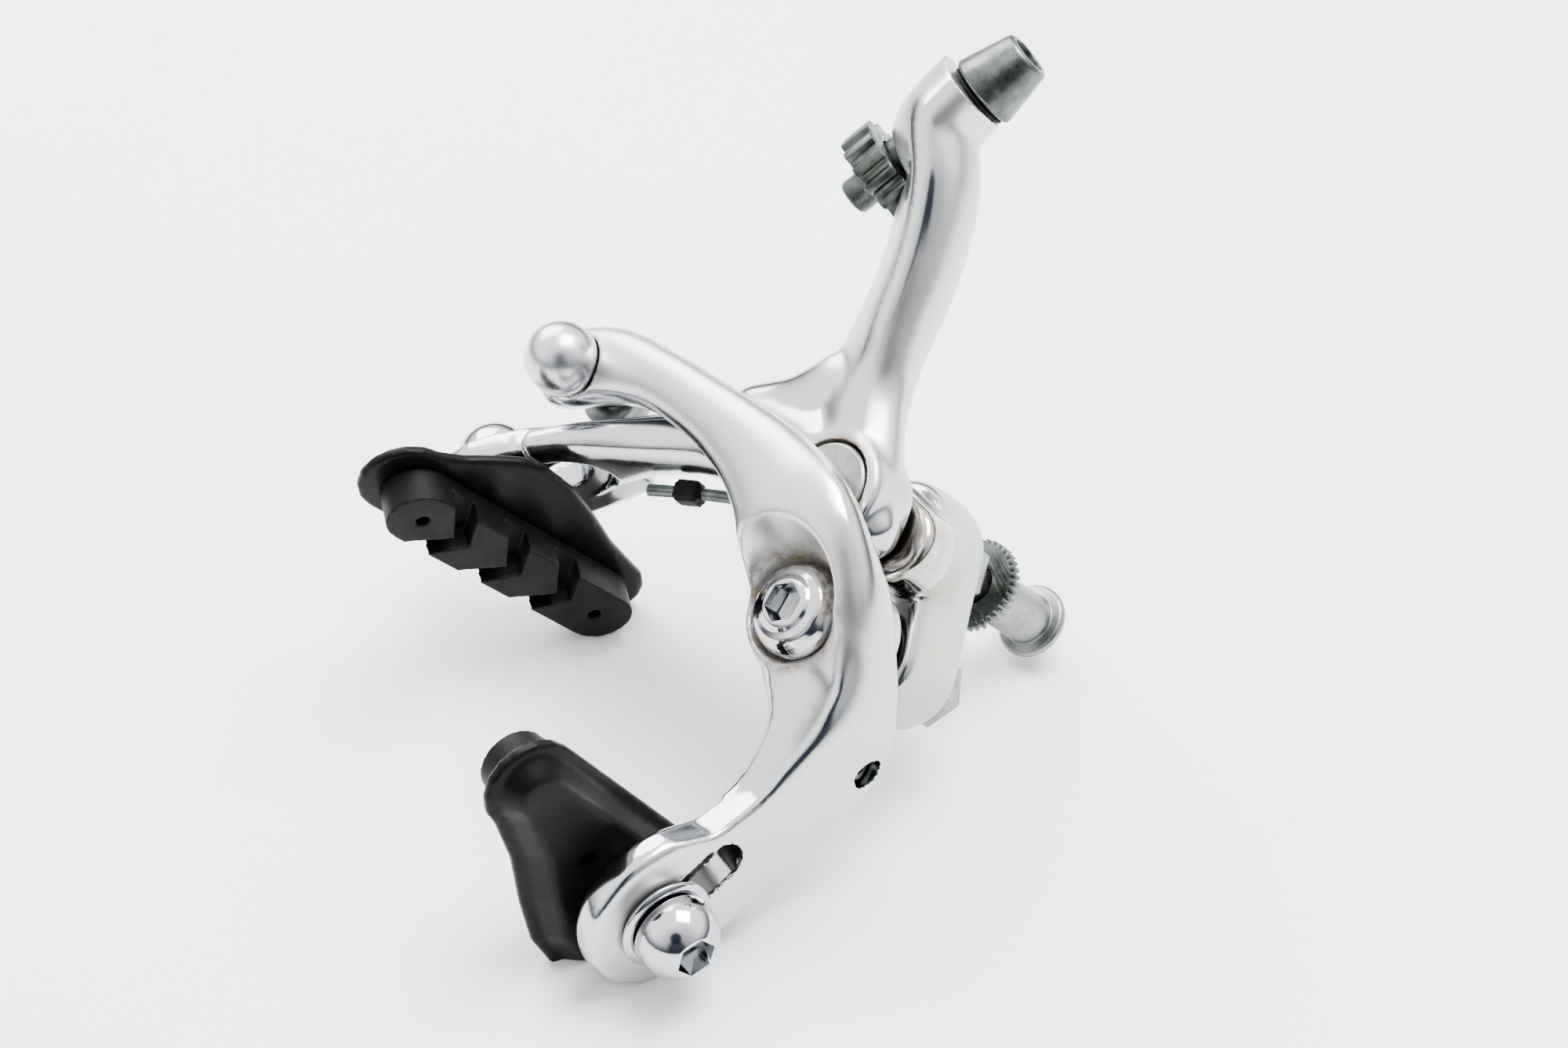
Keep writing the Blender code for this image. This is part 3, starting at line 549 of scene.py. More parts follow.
class Nodes:
    """A shorthand for building a material's node tree."""

    def __init__(self, name):
        self.material = bpy.data.materials.new(name)
        self.material.use_nodes = True
        self.tree = self.material.node_tree
        self.shader = self.tree.nodes["Principled BSDF"]

    def add(self, kind, inputs=(), **settings):
        """A new node with its inputs and settings."""
        node = self.tree.nodes.new(kind)
        for key, value in settings.items():
            setattr(node, key, value)
        for key, value in dict(inputs).items():
            self.put(node.inputs[key], value)
        return node

    def put(self, socket, value):
        """Set an input to a value, or link it to another node's output."""
        if isinstance(value, bpy.types.NodeSocket):
            self.tree.links.new(value, socket)
        else:
            socket.default_value = value

    def noise(self, scale, detail=4, roughness=0.55, distortion=0.0):
        """A noise texture in object coordinates."""
        node = self.add("ShaderNodeTexNoise", {"Vector": self.coordinates(), "Scale": scale,
                                               "Detail": detail, "Roughness": roughness,
                                               "Distortion": distortion})
        return node.outputs["Fac"]

    def coordinates(self):
        """Object coordinates, which ride with the piece."""
        return self.add("ShaderNodeTexCoord").outputs["Object"]

    def band(self, value, low, high, out_low=0.0, out_high=1.0):
        """A value mapped from one range to another and held at its ends."""
        node = self.add("ShaderNodeMapRange", {"Value": value, "From Min": low, "From Max": high,
                                               "To Min": out_low, "To Max": out_high})
        return node.outputs["Result"]

    def mix(self, factor, first, second):
        """A blend of two colours."""
        node = self.add("ShaderNodeMix", data_type="RGBA")
        self.put(node.inputs["Factor"], factor)
        self.put(node.inputs[6], first if isinstance(first, bpy.types.NodeSocket) else (*first, 1))
        self.put(node.inputs[7], second if isinstance(second, bpy.types.NodeSocket) else (*second, 1))
        return node.outputs[2]

    def number(self, operation, first, second=0.0):
        """The result of a sum on two numbers."""
        node = self.add("ShaderNodeMath", operation=operation)
        self.put(node.inputs[0], first)
        self.put(node.inputs[1], second)
        return node.outputs[0]

    def attribute(self, name):
        """A value painted on the mesh's vertices."""
        return self.add("ShaderNodeAttribute", attribute_name=name).outputs["Fac"]

    def bump(self, height, strength, distance):
        """A bumped normal, its distance in millimetres."""
        node = self.add("ShaderNodeBump", {"Height": height, "Strength": strength,
                                           "Distance": distance * MM})
        return node.outputs["Normal"]

    def surface(self, **inputs):
        """Set the surface shader's inputs and hand back the material."""
        for key, value in inputs.items():
            self.put(self.shader.inputs[key.replace("_", " ")], value)
        return self.material


def forged_aluminium():
    """Silver forged aluminium, from satin to bright by its polish value, brown with grease by its grime."""
    n = Nodes("forged_aluminium")
    polish = n.attribute("polish")
    grime = n.attribute("grime")
    grain = n.noise(1500, 6, 0.7)
    cloud = n.noise(90, 3)
    speck = n.band(n.noise(620, 2, 0.5), 0.735, 0.77)
    satin = n.mix(cloud, (0.53, 0.535, 0.53), (0.61, 0.61, 0.60))
    colour = n.mix(polish, satin, (0.50, 0.51, 0.525))
    dirt = n.number("MULTIPLY", grime, n.band(n.noise(420, 5, 0.7), 0.35, 0.62))
    colour = n.mix(dirt, colour, (0.13, 0.085, 0.03))
    colour = n.mix(n.number("MULTIPLY", speck, 0.35), colour, (0.35, 0.34, 0.32))
    rough = n.number("ADD", n.band(polish, 0, 1, 0.34, 0.13), n.band(cloud, 0.3, 0.7, -0.02, 0.03))
    rough = n.number("ADD", rough, n.number("MULTIPLY", dirt, 0.3))
    height = n.number("MULTIPLY", grain, n.band(polish, 0, 1, 1.0, 0.18))
    metallic = n.number("SUBTRACT", 1.0, n.number("MULTIPLY", dirt, 0.9))
    return n.surface(Base_Color=colour, Roughness=rough, Metallic=metallic,
                     Normal=n.bump(height, 0.16, 0.05))


def plain_metal(name, low, high, rough_low, rough_high, cloud_scale=160, grain=0.1, stain=0.0):
    """Plated steel or bronze with cloudy colour, scuffs and fine grain."""
    n = Nodes(name)
    cloud = n.noise(cloud_scale, 5, 0.6)
    colour = n.mix(n.band(cloud, 0.3, 0.7), low, high)
    if stain:
        spots = n.band(n.noise(cloud_scale * 2.2, 4, 0.65), 0.56, 0.7, 0.0, stain)
        colour = n.mix(spots, colour, (0.10, 0.09, 0.06))
    rough = n.band(n.noise(cloud_scale * 3, 4), 0.3, 0.7, rough_low, rough_high)
    return n.surface(Base_Color=colour, Roughness=rough, Metallic=1.0,
                     Normal=n.bump(n.noise(1900, 5, 0.7), grain, 0.05))


def bracket_finish():
    """A matt off-white, scuffed a little, bright by its polish value and brown by its grime."""
    n = Nodes("bracket_aluminium")
    polish = n.attribute("polish")
    cloud = n.noise(110, 4, 0.6)
    matte = n.mix(n.band(cloud, 0.35, 0.7), (0.60, 0.59, 0.545), (0.50, 0.49, 0.44))
    scuff = n.band(n.noise(300, 3, 0.8), 0.70, 0.74, 0.0, 0.5)
    matte = n.mix(scuff, matte, (0.33, 0.32, 0.28))
    colour = n.mix(polish, matte, (0.52, 0.525, 0.53))
    dirt = n.number("MULTIPLY", n.attribute("grime"), n.band(n.noise(420, 5, 0.7), 0.3, 0.6))
    colour = n.mix(dirt, colour, (0.22, 0.13, 0.03))
    return n.surface(Base_Color=colour, Roughness=n.band(polish, 0, 1, 0.55, 0.13),
                     Metallic=n.band(polish, 0, 1, 0.25, 1.0),
                     Normal=n.bump(n.noise(1400, 5, 0.7), 0.12, 0.05))


def rubber(name, colour, rough_low, rough_high, grain=0.35, scale=900):
    """Black moulded rubber or plastic with a fine uneven skin and a few pale scuffs."""
    n = Nodes(name)
    cloud = n.noise(140, 5, 0.6)
    light = tuple(c * 1.6 + 0.0008 for c in colour)
    tone = n.mix(n.band(cloud, 0.35, 0.75), colour, light)
    scuff = n.band(n.noise(520, 3, 0.75), 0.72, 0.78, 0.0, 0.4)
    tone = n.mix(scuff, tone, (0.012, 0.012, 0.012))
    n.put(n.shader.inputs["Specular IOR Level"], 0.10)
    return n.surface(Base_Color=tone, Roughness=n.band(n.noise(240, 3), 0.3, 0.7, rough_low, rough_high),
                     Normal=n.bump(n.noise(scale, 5, 0.65), grain, 0.08))


MATERIALS = {
    "forged_aluminium": forged_aluminium(),
    "bracket_aluminium": bracket_finish(),
    "chromed_steel": plain_metal("chromed_steel", (0.46, 0.47, 0.49), (0.54, 0.545, 0.56), 0.06, 0.12,
                                 cloud_scale=120, grain=0.03),
    "satin_chrome": plain_metal("satin_chrome", (0.52, 0.53, 0.55), (0.60, 0.605, 0.62), 0.22, 0.30,
                                cloud_scale=120, grain=0.05),
    "zinc_steel": plain_metal("zinc_steel", (0.16, 0.175, 0.165), (0.32, 0.335, 0.32), 0.26, 0.40,
                              cloud_scale=200, grain=0.12, stain=0.5),
    "dark_zinc": plain_metal("dark_zinc", (0.035, 0.042, 0.042), (0.15, 0.165, 0.155), 0.25, 0.42,
                             cloud_scale=260, grain=0.2, stain=0.6),
    "bronze": plain_metal("bronze", (0.52, 0.37, 0.18), (0.66, 0.50, 0.27), 0.3, 0.45),
    "pad_rubber": rubber("pad_rubber", (0.0018, 0.0018, 0.002), 0.42, 0.6),
    "shoe_plastic": rubber("shoe_plastic", (0.0015, 0.0015, 0.0018), 0.30, 0.44, 0.22, 700),
    "seal_rubber": rubber("seal_rubber", (0.004, 0.0035, 0.003), 0.5, 0.7),
}


def smoothstep(values, low, high):
    """0 below low, 1 above high and a smooth curve between them."""
    t = np.clip((values - low) / (high - low), 0, 1)
    return t * t * (3 - 2 * t)


def painted(obj, name, rule):
    """Store a value from 0 to 1 at each vertex, worked out from places (mm) and normals."""
    count = len(obj.data.vertices)
    places = np.zeros(count * 3, np.float32)
    obj.data.vertices.foreach_get("co", places)
    normals = np.array([v.normal[:] for v in obj.data.vertices], np.float32)
    values = rule(places.reshape(-1, 3) / MM, normals)
    attribute = obj.data.attributes.new(name, "FLOAT", "POINT")
    attribute.data.foreach_set("value", np.clip(values, 0, 1).astype(np.float32))
    return obj


def piece(obj, name, body, slot, look=None):
    """Name a finished piece, give it its material and let it ride on its body."""
    obj.name = name + "_skin"
    obj.data.name = obj.name
    obj.data.materials.clear()
    obj.data.materials.append(MATERIALS[look or slot])
    obj.data.shade_smooth()
    obj.data.set_sharp_from_angle(angle=SHARP_ANGLE)
    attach(obj, body)
    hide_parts(name)
    return obj


# ---------------------------------------------------------------- arms and bracket

def front_arm():
    """The C-arm: an arch to the cable anchor, a hub round the side pivot bolt and the right leg."""
    arm = limb("front_arm", FRONT_ARM_STATIONS, round_ends=(True, False))
    hub = cylinder("hub", HUB_RADIUS, 26.3, 41.4, y_frame(PIVOT))
    merged(arm, [hub, pad_plate(NEAR)], JOIN_VOXEL, 34)
    hollow = [(0, 21), (6, 20), (12, 16), (15, 9), (15.6, 0), (15, -9), (12, -16), (6, -20), (0, -21)]
    at_scoop = axis_frame(Vector((28.6, -53.6, -21.5)), Vector((-0.42, 0.0, 0.9)))
    scoop = lathe("scoop", hollow, at_scoop, ease=1.5)
    cone = [(0, 62), (15.5, 62), (SEAT_RADIUS + 0.4, 41.2), (SEAT_RADIUS, -SEAT_Y), (0, -SEAT_Y)]
    cut(arm, lathe("seat", cone, y_frame(PIVOT), ease=0), scoop)
    softened(arm, 0.4, 20)
    room = ARCH_BACK_Y, -10
    cup = [(0, 58), (5.8, 58), (5.8, 51.6), (5.5, 49.6), (4.3, 47.4), (2.4, 46.2), (0, 45.8)]
    tools = [
        cylinder("seat_bore", SEAT_RADIUS, -SEAT_Y, 60, y_frame(PIVOT)),
        cylinder("bush_bore", 5.6, 20, 60, y_frame(PIVOT)),
        cylinder("washer_room", 7.5, 10, 26.3, y_frame(PIVOT)),
        bar("boss_room", (0, 0), (-3.1, -5.3), [(y, BOSS_RADIUS + 0.4) for y in room]),
        bar("lobe_room", (6.4, 1.2), (1.5, -0.6), [(y, 6.0) for y in room]),
        cylinder("anchor_hole", 2.8, 30, 60, y_frame(ANCHOR)),
        lathe("anchor_cup", cup, y_frame(ANCHOR), ease=0),
        cylinder("screw_hole", 2.3, -9.5, 8, axis_frame(CENTRING_MOUTH, CENTRING_AXIS)),
        *slot_tools(NEAR),
    ]
    cut(arm, *tools)
    softened(arm, SKIN_VOXEL, 3)

    def polish(places, normals):
        outward = normals @ np.array(NEAR.outward)
        flank = smoothstep(outward, 0.80, 0.93) * smoothstep(places[:, 0], 17, 22)
        arch = smoothstep(-normals[:, 1], 0.62, 0.85) * smoothstep(-places[:, 0], -13, -8)
        top = smoothstep(normals[:, 2], 0.25, 0.6) * smoothstep(-places[:, 0], -10, 0)
        reach = np.hypot(places[:, 0] - PIVOT.x, places[:, 2] - PIVOT.z)
        bowl = smoothstep(-reach, -14.5, -11) * smoothstep(places[:, 2], PIVOT.z - 4, PIVOT.z + 2)
        return 1 - np.maximum.reduce([flank, arch, top, bowl])

    def grime(places, _normals):
        reach = np.hypot(places[:, 0] - PIVOT.x, places[:, 2] - PIVOT.z)
        return np.exp(-((reach - 7.8) / 1.0) ** 2) * smoothstep(-places[:, 1], 37, 40) * 0.9

    painted(arm, "polish", polish)
    painted(arm, "grime", grime)
    return piece(arm, "front_arm", "front_arm", "forged_aluminium")


def rear_arm():
    """The Y-arm: a boss on the centre bolt, the left leg and the tall cable arm."""
    arm = limb("rear_arm", REAR_LEG_STATIONS, round_ends=(True, False))
    tall = limb("tall", TALL_ARM_STATIONS, ridged)
    boss = cylinder("boss", BOSS_RADIUS, 31.2, 41.2, y_frame(CENTRE))
    web = limb("web", [(-22.0, -36.4, -7.0, 5.0, 4.2, 2.4), (-17.5, -36.4, 0.0, 5.4, 4.4, 2.4),
                       (-16.2, -36.6, 8.0, 4.6, 4.6, 2.4)], steps=6)
    merged(arm, [tall, boss, web, pad_plate(FAR)], JOIN_VOXEL, 30)
    tools = [
        cylinder("counterbore", 7.1, 38.3, 60, y_frame(CENTRE)),
        cylinder("bush_bore", 5.6, 10, 60, y_frame(CENTRE)),
        cylinder("back_face", 15.0, 10, 31.2, y_frame(CENTRE)),
        cylinder("head_top", 16, 46.8, 70, z_frame(BARREL)),
        cylinder("wheel_room", 8.0, 20, 33.6, z_frame(BARREL)),
        cylinder("barrel_hole", 3.7, 20, 60, z_frame(BARREL)),
        *slot_tools(FAR),
    ]
    cut(arm, *tools)
    softened(arm, SKIN_VOXEL, 3)

    def polish(places, normals):
        tall_arm = smoothstep(places[:, 2], 3, 9)
        frames = limb_frames(TALL_ARM_STATIONS, 8)
        centres = np.array([row[0][:] for row in frames])
        nearest = np.argmin(((places[:, None, :] - centres[None]) ** 2).sum(2), axis=1)
        across = np.array([row[2][:] for row in frames])[nearest]
        half = np.array([row[3] for row in frames])[nearest]
        side = ((places - centres[nearest]) * across).sum(1) / half
        ridge = smoothstep(-np.abs(side + 0.4), -0.24, -0.18) * smoothstep(-normals[:, 1], 0.2, 0.4)
        facet = smoothstep(places[:, 2], 28, 34) * smoothstep(-places[:, 2], -43, -39)
        facet = facet * smoothstep(-np.abs(side + 0.35), -0.6, -0.35) * smoothstep(-normals[:, 1], 0.3, 0.6)
        return 1 - tall_arm * (1 - np.maximum(ridge, facet))

    def grime(places, _normals):
        reach = np.hypot(places[:, 0], places[:, 2])
        return np.exp(-((reach - 7.2) / 0.6) ** 2) * smoothstep(-places[:, 1], 38.0, 39.0) * 0.9

    painted(arm, "polish", polish)
    painted(arm, "grime", grime)
    return piece(arm, "rear_arm", "rear_arm", "forged_aluminium")


def bracket():
    """The bracket behind both arms, with a nose between them and a groove for the spring."""
    levels = spline_rows([(-23.6, 7.0), (-23.3, 7.6), (-22.2, 8.4), (-19.0, 8.85), (-14.6, 8.75),
                          (-12.0, 8.1), (-10.9, 7.3), (-10.6, 6.6)], 5)
    body = bar("bracket", (0, 0), (PIVOT.x, PIVOT.z), levels)
    nose = bar("nose", (-0.4, 0), (6.4, 2.0), [(-30.4, 5.2), (-30.1, 5.8), (-29.4, 6.2), (-20.0, 6.2)])
    merged(body, [nose], 0.36, 6)
    cut(body, cylinder("bolt_hole", 4.3, 5, 40, y_frame(CENTRE)),
        cylinder("pivot_hole", 3.4, 5, 40, y_frame(PIVOT)),
        tube("spring_groove", spline_rows(SPRING_ROUTE, 8), SPRING_RADIUS + 0.5))
    softened(body, SKIN_VOXEL, 2)

    def polish(places, normals):
        edge = smoothstep(-normals[:, 1], 0.22, 0.5) * smoothstep(-places[:, 1], 20, 22.4)
        return np.maximum(edge, smoothstep(-places[:, 1], 23.7, 24.2))

    def grime(places, _normals):
        return smoothstep(-places[:, 1], 24.0, 27.0) * 0.45

    painted(body, "polish", polish)
    painted(body, "grime", grime)
    return piece(body, "bracket", "bracket", "bracket_aluminium")


# ---------------------------------------------------------------- bolts, washers and nuts

def nut(name, across, bore, low, high, matrix, phase, body, slot):
    """A hexagon nut between two heights."""
    shape = flat(name, [hexagon(across, phase), circle(bore)], low, high, matrix)
    return piece(eased(shape, 0.3), name, body, slot)


def washer(name, inner, outer, low, high, matrix, body, slot, ease=0.2):
    """A washer, bush or seal between two radii and two heights."""
    profile = [(outer, high), (outer, low), (inner, low), (inner, high)]
    return piece(lathe(name, profile, matrix, closed=True, ease=ease), name, body, slot)


def bolt(name, head, shank, matrix, body, slot, socket=0.0, depth=3.0, look=None):
    """A headed bolt with an optional hexagon socket."""
    top = head[0][1]
    shape = lathe(name, [(0, top), *head, *shank], matrix, ease=0.15)
    if socket:
        cut(shape, flat("socket", [hexagon(socket)], top - depth, top + 4, matrix), solver="EXACT")
        eased(shape, 0.12, 40)
    return piece(shape, name, body, slot, look=look)


def centre_hardware():
    """The centre bolt and what sits on it."""
    at_centre = y_frame(CENTRE)
    bolt("centre_bolt", [(6.3, 41.3), (6.7, 40.9), (6.7, 38.9), (6.4, 38.6)],
         [(3.9, 38.6), (3.9, 10.6), (2.85, 10.6), (2.85, -8.8), (2.45, -9.2), (0, -9.2)], at_centre,
         "bracket", "zinc_steel")
    washer("centre_bush", 4.1, 5.4, 31.4, 38.0, at_centre, "rear_arm", "bronze")
    washer("centre_seal", 4.3, 5.6, 30.65, 30.95, at_centre, "bracket", "seal_rubber", 0.1)
    nut("centre_lock_nut", 10.0, 3.1, 6.2, 10.2, at_centre, 0.3, "bracket", "zinc_steel")
    teeth = flat("serrated_washer", [toothed(6.4, 7.1, 36, 0.5), circle(3.3)], 0.0, 1.8, at_centre)
    piece(eased(teeth, 0.1), "serrated_washer", "bracket", "dark_zinc")
    sleeve = [(4.0, -0.5), (4.0, -14.2), (5.4, -14.4), (5.75, -14.8), (5.75, -15.6), (5.4, -16.0),
              (2.6, -16.0), (2.6, -11.0), (3.1, -10.6), (3.1, -0.5)]
    flanged = lathe("sleeve_nut", sleeve, at_centre, closed=True, ease=0.25)
    piece(flanged, "sleeve_nut", "bracket", "zinc_steel")


def pivot_hardware():
    """The side pivot bolt and what sits on it, and the centring screw."""
    at_pivot = y_frame(PIVOT)
    head = [(3.3, 44.0), (3.75, 43.8), (4.3, 43.35), (5.2, 43.1), (5.8, 42.7), (6.35, 41.9), (6.8, 40.9),
            (6.95, 40.1), (6.95, 39.7), (6.7, 39.5)]
    shank = [(3.9, 39.5), (3.9, 23.9), (2.85, 23.9), (2.85, 5.4), (2.45, 5.0), (0, 5.0)]
    bolt("side_pivot_bolt", head, shank, at_pivot, "bracket", "chromed_steel", socket=5.4, depth=3.6)
    washer("side_pivot_bush", 4.1, 5.4, 26.5, 39.0, at_pivot, "front_arm", "bronze")
    washer("side_pivot_washer", 4.2, 7.0, 25.2, 26.0, at_pivot, "bracket", "zinc_steel")
    washer("side_pivot_seal", 4.2, 6.2, 24.0, 24.9, at_pivot, "bracket", "seal_rubber")
    nut("side_pivot_nut", 10.0, 3.1, 5.8, 10.2, at_pivot, 0.5, "bracket", "zinc_steel")
    at_screw = axis_frame(CENTRING_MOUTH, CENTRING_AXIS)
    bolt("centring_screw", [(1.7, -1.0), (1.9, -1.2)], [(1.9, -8.2), (1.7, -8.4), (0, -8.4)], at_screw,
         "centring_screw", "dark_zinc", socket=2.0, depth=2.2)


def spring():
    """The return spring and the two plastic shoes on it, which are softened copies of the CAD's."""
    wire = tube("return_spring", spline_rows(SPRING_ROUTE, 8), SPRING_RADIUS)
    piece(wire, "return_spring", "bracket", "zinc_steel", look="dark_zinc")
    for name, body, share in (("spring_shoe_left", "rear_arm", 0.8),
                              ("spring_shoe_right", "front_arm", 0.9)):
        low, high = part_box(name)
        middle = (low + high) / 2
        copy = link(bpy.data.objects.new(name + "_copy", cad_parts[name].data.copy()))
        shrink = Matrix.Translation(middle) @ Matrix.Scale(share, 4) @ Matrix.Translation(-middle)
        copy.data.transform(shrink)
        piece(softened(copy, 0.2, 3), name, body, "seal_rubber")


def cable_parts():
    """The cable anchor and the adjuster."""
    at_anchor = y_frame(ANCHOR)
    angles = [math.radians(4 + 122 * i / 24) for i in range(25)]
    ball = [(5.6 * math.sin(a), 51.6 + 5.6 * math.cos(a)) for a in angles]
    shank_top = ball[-1][1]
    bolt("anchor_bolt", ball, [(2.5, shank_top), (2.5, 34.0), (2.1, 33.6), (0, 33.6)], at_anchor,
         "cable_anchor", "chromed_steel", look="satin_chrome")
    washer("anchor_washer", 2.75, 5.6, 38.0, 39.3, at_anchor, "cable_anchor", "zinc_steel")
    nut("anchor_nut", 8.0, 2.75, 34.2, 37.7, at_anchor, 0.0, "cable_anchor", "zinc_steel")
    at_barrel = z_frame(BARREL)
    barrel = [(3.5, 56.4), (3.9, 56.0), (5.6, 48.2), (5.3, 47.8), (3.3, 47.8), (3.3, 27.0), (2.7, 26.6),
              (2.7, 24.0), (2.4, 23.6), (1.3, 23.6), (1.3, 50.0), (2.7, 50.0), (2.7, 56.4)]
    piece(lathe("adjuster_barrel", barrel, at_barrel, closed=True, ease=0.25), "adjuster_barrel",
          "adjuster_barrel", "dark_zinc")
    washer("adjuster_seal", 3.5, 4.9, 47.05, 47.5, at_barrel, "rear_arm", "seal_rubber", 0.12)
    wheel = flat("adjuster_wheel", [toothed(6.4, 7.3, 14, 0.55), circle(3.6)], 27.6, 32.6, at_barrel)
    piece(eased(wheel, 0.35), "adjuster_wheel", "adjuster_wheel", "dark_zinc")


# ---------------------------------------------------------------- pads

def inset(points, distance):
    """A closed outline moved inwards by a distance."""
    area = sum(a[0] * b[1] - b[0] * a[1] for a, b in zip(points, points[1:] + points[:1]))
    turn = 1 if area > 0 else -1
    moved = []
    for i, point in enumerate(points):
        before, after = Vector(points[i - 1]), Vector(points[(i + 1) % len(points)])
        along = (after - before).normalized()
        moved.append((point[0] - turn * along.y * distance, point[1] + turn * along.x * distance))
    return moved


def shoe(pad):
    """A pad's moulded shoe: a flange with a web on one long side and a raised back."""
    at_shoe = pad.shoe_frame()
    outline = shoe_outline(pad)
    rings = []
    top, low = FLANGE_DEPTH + FLANGE_THICKNESS, FLANGE_DEPTH
    levels = [(0.5, top), (0.15, top - 0.15), (0.0, top - 0.4), (0.0, low + 0.4), (0.2, low + 0.1),
              (0.7, low), (1.6, low - 0.1), (3.6, low - 2.4), (4.0, low - 2.7), (4.6, low - 2.8)]
    for distance, depth in levels:
        ring_points = oriented(pad, inset(outline, distance))
        rings.append([Vector((x, y, depth)) for x, y in ring_points])
    body = skin("shoe", rings)
    body.data.transform(at_shoe)
    link(body)
    softened(body, 0.35, 10)
    cut(body, cylinder("bolt_hole", 3.3, -2, 9, at_shoe), cylinder("insert_pocket", 4.7, -3, 5.4, at_shoe))
    x, y = oriented(pad, [(11.0 - pad.centre_s, 0.5 - pad.centre_h)])[0]
    at_mark = at_shoe @ Matrix.Translation((x * MM, y * MM, 0))
    cut(body, cylinder("mark", 1.35, 0, 4.4, at_mark, 48), solver="EXACT")
    return piece(body, f"pad_shoe_{pad.name}", f"pad_{pad.name}", "shoe_plastic")


def groove(pad, apex_s, low, high):
    """One V-shaped water groove, its point towards the back of the pad."""
    width, reach = 3.4, 9.0
    back = apex_s - width
    points = [(apex_s + reach, 8.4), (apex_s, 0), (apex_s + reach, -8.4), (back + reach, -8.4 - width),
              (back, 0), (back + reach, 8.4 + width)]
    return flat("groove", [oriented(pad, points)], low, high, pad.shoe_frame())


def friction_block(pad):
    """A pad's friction block, with three V grooves and two pin holes."""
    low = FLANGE_DEPTH + FLANGE_THICKNESS + 0.3
    end = BLOCK_LENGTH / 2 - BLOCK_HEIGHT / 2
    shape = stadium((-end, 0), (end, 0), BLOCK_HEIGHT / 2)
    body = flat("block", [oriented(pad, shape)], low, low + BLOCK_THICKNESS, pad.shoe_frame())
    top = low + BLOCK_THICKNESS
    for apex_s in (13.5, 1.6, -10.2):
        cut(body, groove(pad, apex_s, top - 3.6, top + 3), solver="EXACT")
    for s in (20.4, -19.4):
        x, y = oriented(pad, [(s, 0)])[0]
        at_pin = pad.shoe_frame() @ Matrix.Translation((x * MM, y * MM, 0))
        cut(body, cylinder("pin_hole", 1.05, top - 3, top + 2, at_pin, 32), solver="EXACT")
    softened(body, 0.22, 2)
    return piece(body, f"pad_block_{pad.name}", f"pad_{pad.name}", "pad_rubber")


def pad_parts(pad):
    """One whole pad: shoe, block, insert, bolt, washer and spacer."""
    mount, at_bolt = f"pad_mount_{pad.name}", pad.bolt_frame()
    shoe(pad)
    friction_block(pad)
    washer(f"pad_insert_{pad.name}", 3.1, 4.4, 2.2, 5.1, pad.shoe_frame(), f"pad_{pad.name}", "zinc_steel")
    first = math.asin(3.1 / 6.0)
    angles = [first + (math.pi / 2 - first) * i / 16 for i in range(17)]
    head = [(6.0 * math.sin(a), 3.5 + 6.0 * math.cos(a)) for a in angles]
    shank = [(2.85, 1.9), (2.85, -11.8), (2.45, -12.2), (0, -12.2)]
    bolt(f"pad_bolt_{pad.name}", [*head, (6.0, 2.4), (5.5, 1.9)], shank, at_bolt, mount, "chromed_steel",
         socket=5.2, depth=4.0)
    rim = [(6.1, 1.5), (6.9, 1.1), (6.9, 0.7), (6.3, 0.3), (3.1, 0.3), (3.1, 1.5)]
    dished = lathe(f"pad_washer_{pad.name}", rim, at_bolt, closed=True)
    piece(dished, f"pad_washer_{pad.name}", mount, "chromed_steel")
    washer(f"pad_spacer_{pad.name}", 3.1, 6.2, -6.5, -5.3, at_bolt, mount, "zinc_steel")


front_arm()
rear_arm()
bracket()
centre_hardware()
pivot_hardware()
spring()
cable_parts()
for pad_side in (NEAR, FAR):
    pad_parts(pad_side)


# ---------------------------------------------------------------- camera, floor and light

def camera():
    """The camera stands to the front right of the brake, a little above it."""
    data = bpy.data.cameras.new("camera")
    data.lens = 69.17
    data.sensor_width = 36
    data.clip_start, data.clip_end = 0.01, 50
    obj = link(bpy.data.objects.new("camera", data))
    level = Matrix.Rotation(CAMERA_HEADING, 4, "Z") @ Matrix.Rotation(math.pi / 2 + CAMERA_PITCH, 4, "X")
    turn = level @ Matrix.Rotation(CAMERA_ROLL, 4, "Z")
    obj.matrix_world = Matrix.Translation(CAMERA_PLACE * MM) @ turn
    bpy.context.scene.camera = obj


def floor():
    """The plain pale table that the brake lies on. Only its upper side is seen, so it hides nothing."""
    solid = bmesh.new()
    bmesh.ops.create_grid(solid, x_segments=1, y_segments=1, size=6)
    obj = finish_mesh("floor", solid)
    turn = TABLE_NORMAL.to_track_quat("Z", "Y").to_matrix().to_4x4()
    obj.data.transform(Matrix.Translation((TABLE_POINT - TABLE_NORMAL * 1.0) * MM) @ turn)
    if obj.data.polygons[0].normal.dot(TABLE_NORMAL) < 0:
        obj.data.flip_normals()
    link(obj)
    n = Nodes("floor")
    cloud = n.noise(14, 3)
    n.surface(Base_Color=n.mix(cloud, (0.86, 0.865, 0.865), (0.90, 0.905, 0.905)), Roughness=0.6)
    clear = n.add("ShaderNodeBsdfTransparent")
    sides = n.add("ShaderNodeMixShader")
    n.put(sides.inputs[0], n.add("ShaderNodeNewGeometry").outputs["Backfacing"])
    n.put(sides.inputs[1], n.shader.outputs[0])
    n.put(sides.inputs[2], clear.outputs[0])
    n.put(n.tree.nodes["Material Output"].inputs[0], sides.outputs[0])
    obj.data.materials.append(n.material)


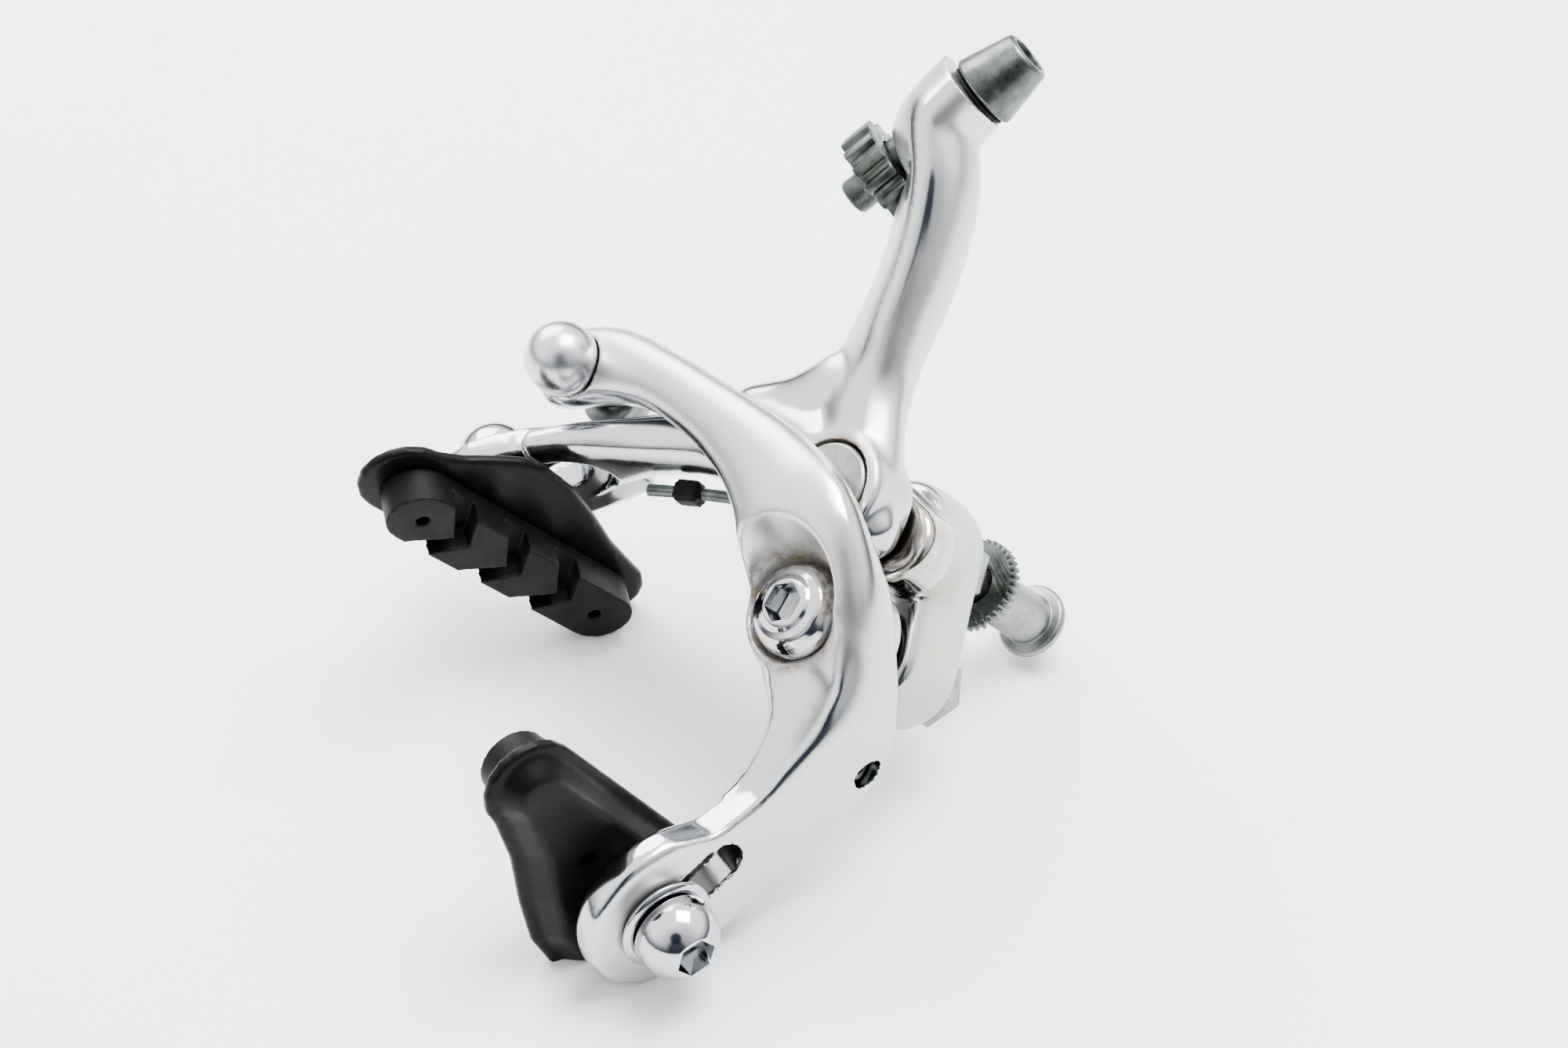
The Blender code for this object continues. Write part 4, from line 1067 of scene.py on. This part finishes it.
class Sky(Nodes):
    """The same shorthand for the world's node tree."""

    def __init__(self, world):
        world.use_nodes = True
        self.tree = world.node_tree

    def towards(self, direction):
        """How far the view direction agrees with a given one, from -1 to 1."""
        where = self.add("ShaderNodeTexCoord").outputs["Generated"]
        node = self.add("ShaderNodeVectorMath", operation="DOT_PRODUCT")
        self.put(node.inputs[0], where)
        self.put(node.inputs[1], Vector(direction).normalized())
        return node.outputs["Value"]

    def soft(self, value, low, high, out_low, out_high):
        """A value mapped smoothly from one range to another."""
        node = self.add("ShaderNodeMapRange", {"Value": value, "From Min": low, "From Max": high,
                                               "To Min": out_low, "To Max": out_high},
                        interpolation_type="SMOOTHSTEP")
        return node.outputs["Result"]


def sky():
    """White studio surroundings, dark near the horizon and where the camera stands."""
    world = bpy.data.worlds.new("studio")
    bpy.context.scene.world = world
    n = Sky(world)
    shade = n.soft(n.towards(TABLE_NORMAL), 0.02, 0.46, 0.05, 1.0)
    # Direction, where the dark patch starts and is darkest (as cosines), and how much light is left there
    patches = [((0.61, -0.74, 0.30), 0.945, 0.985, 0.04), ((0.86, -0.48, 0.04), 0.88, 0.97, 0.08),
               ((0.93, -0.35, 0.10), 0.25, 0.95, 0.30), ((-0.80, 0.45, 0.40), 0.90, 0.98, 0.35)]
    for direction, outer, inner, left in patches:
        shade = n.number("MULTIPLY", shade, n.soft(n.towards(direction), outer, inner, 1.0, left))
    background = n.tree.nodes["Background"]
    n.put(background.inputs["Color"], n.mix(shade, (0.010, 0.014, 0.022), (1.0, 1.0, 1.0)))
    background.inputs["Strength"].default_value = 3.0


def lamps():
    """A broad soft light over the brake and a weaker one from its left."""
    for name, place_at, size, power in (("key", (-150, -420, 620), 0.45, 14.0),
                                        ("fill", (-520, -320, 120), 0.4, 5.0)):
        data = bpy.data.lights.new(name, "AREA")
        data.size = size
        data.energy = power
        obj = link(bpy.data.objects.new(name, data))
        obj.location = Vector(place_at) * MM
        obj.rotation_mode = "QUATERNION"
        obj.rotation_quaternion = (Vector((0, -30, -10)) * MM - obj.location).to_track_quat("-Z", "Y")


camera()
floor()
sky()
lamps()
